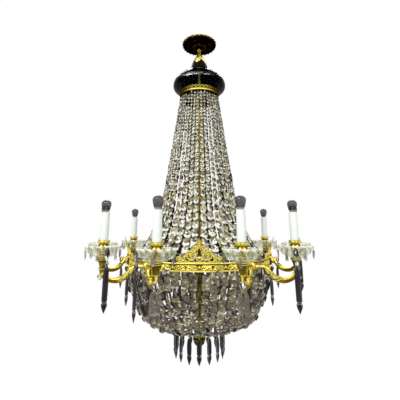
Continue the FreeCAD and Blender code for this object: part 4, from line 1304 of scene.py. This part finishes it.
def pan_outline():
    """Outer side of a pan from its floor to its rim, as (radius, level)."""
    span = pan_radius - pan_floor_radius
    shares = ((0.35, 0.06), (0.65, 0.30), (0.86, 0.62), (1.0, 1.0))
    wall = [(pan_floor_radius + span * out, pan_foot + pan_depth * up) for out, up in shares]
    return [(pan_floor_radius, pan_foot)] + wall


def pan():
    """Dish of pressed glass whose ribs rise to a pointed rim."""
    under = smooth(pan_outline(), 5)
    upper = under.copy()
    upper[:, 1] += pan_wall * np.linspace(1.0, 0.5, len(under))
    upper[:, 0] -= pan_wall * np.linspace(0.0, 0.7, len(under))
    outside = [(pan_bore_radius, pan_foot)] + under.tolist()
    inside = upper.tolist()[::-1] + [(pan_bore_radius, pan_foot + pan_wall)]
    rows = [(radius, level, 0.45) for radius, level in outside]
    rows += [(radius, level, 0.35) for radius, level in inside]

    def ribs(angle, share):
        place = 1 - abs(2 * share - 1)
        wave = np.abs(np.cos(pan_rib_count / 2 * angle))
        points = place ** 3
        cuts = np.cos(14 * angle + 11 * place) * (0.6 + 0.4 * np.cos(16 * angle))
        edge = np.clip(1 - wave * 4, 0, 1) * place
        rim = risen(place, 0.86, 0.08) + risen(place, 0.36, -0.08) * 0.6
        # painted reflection: the tone is paler along the rib edges and at the rim; the cuts are a pattern
        tone = 0.4 * cuts * place + 0.2 * edge + 0.45 * rim
        return -3.0 * points * (1 - wave), 1.6 * points * (wave - 1), tone
    return lathe(rows, 192, ribs, ring=True)


def pans():
    make("pressed_pans", on_candles(pan()), [pan_green], ["bobeches"])


def candle_cups():
    """Leafy turned cups under the candles, with a crown of small leaves."""
    top = cup_foot + cup_height
    outer = candle_radius + 2.7
    bore = candle_radius + 0.3
    rows = ((0.0, 13.0, 0.9), (0.06, 13.5, 0.8), (0.12, 10.0, 0.4), (0.18, 12.0, 0.9), (0.24, 9.5, 0.4),
            (0.34, 10.0, 0.7), (0.42, 14.0, 0.6), (0.52, outer + 1.0, 0.7), (0.64, outer + 1.5, 0.65),
            (0.76, outer - 1.5, 0.35), (0.82, outer + 0.5, 0.95), (0.88, outer + 2.6, 1.0),
            (0.96, outer + 2.6, 0.8), (1.0, outer + 0.8, 0.5))
    outline = smooth(rows_from(rows, 1.0, cup_foot, cup_height), 2)
    inner = [(bore, top, 0.3), (bore, candle_foot, 0.2), (cup_bore_radius, candle_foot, 0.2),
             (cup_bore_radius, cup_foot, 0.2)]

    def leaves(angle, share):
        bowl = swell(share, 0.28, 0.36)
        wave = np.abs(np.cos(4 * angle))
        return 1.8 * bowl * wave, 0.0, bowl * (wave ** 2 - 0.4) * 0.55
    body = lathe(np.vstack([outline, inner]), 56, leaves, ring=True)
    form = on_turned([(outer + 1.0, cup_foot + cup_height * 0.8), (outer + 2.4, top + 2.0)])
    crown = leaf((0, cup_foot + cup_height * 0.82), (0, top + 2.0), 4.4, 1.6, form, 2, 1.2)
    shape = Shape().join(body, on_circle(crown, cup_leaf_count))
    make("leafy_candle_cups", on_candles(shape), [bright_gilt], ["candle_cups"])


def bulb_skin():
    """Pear of thin glass round a bulb's stem, paler toward its neck as a painted glow and near its tip as a
    painted highlight.
    """
    shares = ((0.0, 0.5, 1.0), (0.06, 0.54, 1.0), (0.12, 0.62, 0.9), (0.24, 0.76, 0.5), (0.5, 0.94, 0.2),
              (0.68, 1.0, 0.1), (0.82, 0.9, 0.2), (0.93, 0.58, 0.4), (1.0, 0.0, 0.7))
    height = candle_top + bulb_height - bulb_neck
    return lathe(smooth(rows_from(shares, bulb_radius, bulb_neck, height), 3), 40)


def bulb_base():
    """Screw base from a bulb's neck down."""
    foot = candle_top - bulb_base_length
    thread = [(bulb_base_radius - 0.8 * (turn % 2), foot + 4 + turn * 1.6, 0.6) for turn in range(10)]
    rows = [(0.0, foot, 0.5), (4.0, foot, 0.5), (bulb_base_radius, foot + 3, 0.6)] + thread
    rows += [(bulb_base_radius, bulb_neck, 0.6), (bulb_radius * 0.5, bulb_neck + 0.5, 0.6)]
    return lathe(rows, 24, coat=1)


def bulb_wires():
    """Two wires with the glowing loop between them."""
    reach = 6.5
    top = bulb_neck + 27
    wires = Shape()
    for side in (-1, 1):
        wires.join(bent_tube([(side * 1.5, bulb_neck + 16), (side * reach, top)], [0.5], sides=5))
    turns = np.linspace(0, math.pi, 13)
    loop = np.stack([reach * np.cos(turns), top + 2.0 * np.sin(3 * turns)], -1)
    return wires.join(bent_tube(loop, [0.45], sides=5))


def bulbs():
    """Pear bulbs of thin smoky glass with their stems, on their own bodies."""
    rises = ((0.0, 0.0, 0.5), (0.0, 6.0, 0.6), (6.0, 4.6, 0.8), (12.0, 2.4, 0.9), (18.0, 2.0, 1.0),
             (20.0, 0.0, 0.9))
    stem = lathe(smooth(rows_from(rises, 1.0, bulb_neck, 1.0), 3), 16)
    skin = bulb_skin()
    inside = Shape().join(stem, bulb_wires(), bulb_base())
    for index in range(arm_count):
        name = "bulb_%02d" % (index + 1)
        make(name + "_glass", on_candle(skin, index), [bulb_glass], [name], name)
        make(name + "_stem", on_candle(inside, index), [stem_glass, brass_pin], (), name)


# Foot


def acorn():
    """Acorn nut on the stem's end, with a scaled body."""
    top = bottom_ring_foot - 0.1
    shares = ((0.0, 0.42, 0.5), (0.1, 0.42, 0.4), (0.15, 0.62, 0.8), (0.2, 0.5, 0.2), (0.34, 0.9, 0.5),
              (0.44, 1.0, 0.4), (0.6, 1.0, 0.35), (0.78, 0.84, 0.35), (0.9, 0.58, 0.35), (0.96, 0.34, 0.5),
              (1.0, 0.02, 0.5))
    profile = smooth(rows_from(shares, finial_radius, top, -finial_length), 4)

    def scales(angle, share):
        body = swell(share, 0.25, 0.6)
        wave = np.cos(8 * angle + 26 * share) * np.cos(8 * angle - 26 * share)
        return 0.7 * body * wave, 0.0, 0.4 * body * wave
    make("acorn_finial", lathe(profile, 80, scales), [shaded_gilt], ["finial"], "finial")


def carried_over():
    """Finishes of the solids that show as they are."""
    finishes = {
        smooth_gilt: ("canopy_ball", "hanging_eye", "hanging_link", "crown_loop", "central_rod", "rod_sleeve",
                      "wiring_hub", "bottom_ring", "spear_hooks"),
        zinc_steel: ("mounting_bar", "mounting_nipple", "lock_nut", "ring_spider", "crown_plate"),
        candle_white(): ("candle_covers",),
        enamel: ("crown_neck",),
        porcelain: ("lamp_sockets",),
    }
    for finish, names in finishes.items():
        for name in names:
            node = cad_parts[name]
            node.data.materials.clear()
            node.data.materials.append(finish.material)


# Studio, in metres

floor_level = -2.6
floor_reach = 2.0
eye_place = (0.0, -1.267, -0.877)
eye_tilt = 103.19
eye_lens = 26.4
eye_shift = (0.0018, -0.10)
soft_daylight = 0.55        # on the object, where the camera, glass and metal see 1


def floor():
    """Pale floor of the room, well below the chandelier."""
    data = bpy.data.meshes.new("floor")
    quarters = ((-1, -1), (1, -1), (1, 1), (-1, 1))
    corners = [(x * floor_reach, y * floor_reach, floor_level) for x, y in quarters]
    data.from_pydata(corners, [], [(0, 1, 2, 3)])
    finish = Finish("pale_floor")
    colour = finish.ramp(finish.grain(3.0, 3.0), ((0.0, "#e4e4e2"), (1.0, "#eeeeec")))
    finish.surface(Base_Color=colour, Roughness=0.8)
    data.materials.append(finish.material)
    piece = bpy.data.objects.new("floor", data)
    bpy.context.scene.collection.objects.link(piece)


def daylight():
    """White surroundings for the camera, metal and glass, and softer light on the object."""
    world = bpy.data.worlds.new("studio")
    bpy.context.scene.world = world
    sky = NodeTree(world)
    eye, glass, metal = [sky.node("ShaderNodeLightPath", output="Is %s Ray" % kind)
                         for kind in ("Camera", "Transmission", "Glossy")]
    seen = sky.sum_of("MAXIMUM", sky.sum_of("MAXIMUM", eye, glass), metal)
    strength = sky.node("ShaderNodeMapRange", sockets={"Value": seen, "To Min": soft_daylight, "To Max": 1.0})
    shine = sky.node("ShaderNodeBackground", sockets={"Color": (1.0, 1.0, 1.0, 1.0), "Strength": strength})
    sky.node("ShaderNodeOutputWorld", sockets={"Surface": shine})


def lamp(name, place, aim, size, power):
    """Soft lamp of a width and height that looks at a point."""
    data = bpy.data.lights.new(name, "AREA")
    data.shape = "RECTANGLE"
    data.size, data.size_y = size
    data.energy = power
    light = bpy.data.objects.new(name, data)
    light.location = place
    way = np.array(aim) - np.array(place)
    tilt = math.acos(-way[2] / np.linalg.norm(way))
    light.rotation_euler = (tilt, 0.0, math.atan2(way[1], way[0]) - math.pi / 2)
    bpy.context.scene.collection.objects.link(light)


def camera():
    """Eye a little below the arms' level, tilted up as in the photograph."""
    data = bpy.data.cameras.new("camera")
    data.lens = eye_lens
    data.sensor_width = 36.0
    data.shift_x, data.shift_y = eye_shift
    eye = bpy.data.objects.new("camera", data)
    eye.location = eye_place
    eye.rotation_euler = (math.radians(eye_tilt), 0.0, 0.0)
    bpy.context.scene.collection.objects.link(eye)
    bpy.context.scene.camera = eye


def main():
    bpy.context.scene.view_settings.view_transform = "Standard"
    camera()
    daylight()
    lamp("key", (-1.2, -2.1, 0.95), (0.0, 0.0, -0.7), (2.4, 0.8), 58.0)
    lamp("fill", (1.3, -2.0, 1.0), (0.0, 0.0, -0.7), (1.0, 0.9), 22.0)
    lamp("rear", (0.0, 1.2, 1.3), (0.0, 0.0, -0.3), (2.4, 0.4), 40.0)
    floor()
    carried_over()
    ceiling_rosette()
    cap_leaves()
    glass_dome()
    crown_stem()
    crown_bands()
    tent()
    ring_relief()
    crests()
    arms()
    root_castings()
    trumpets()
    pans()
    candle_cups()
    bulbs()
    pan_crystals()
    basket()
    bottom_spears()
    acorn()


main()
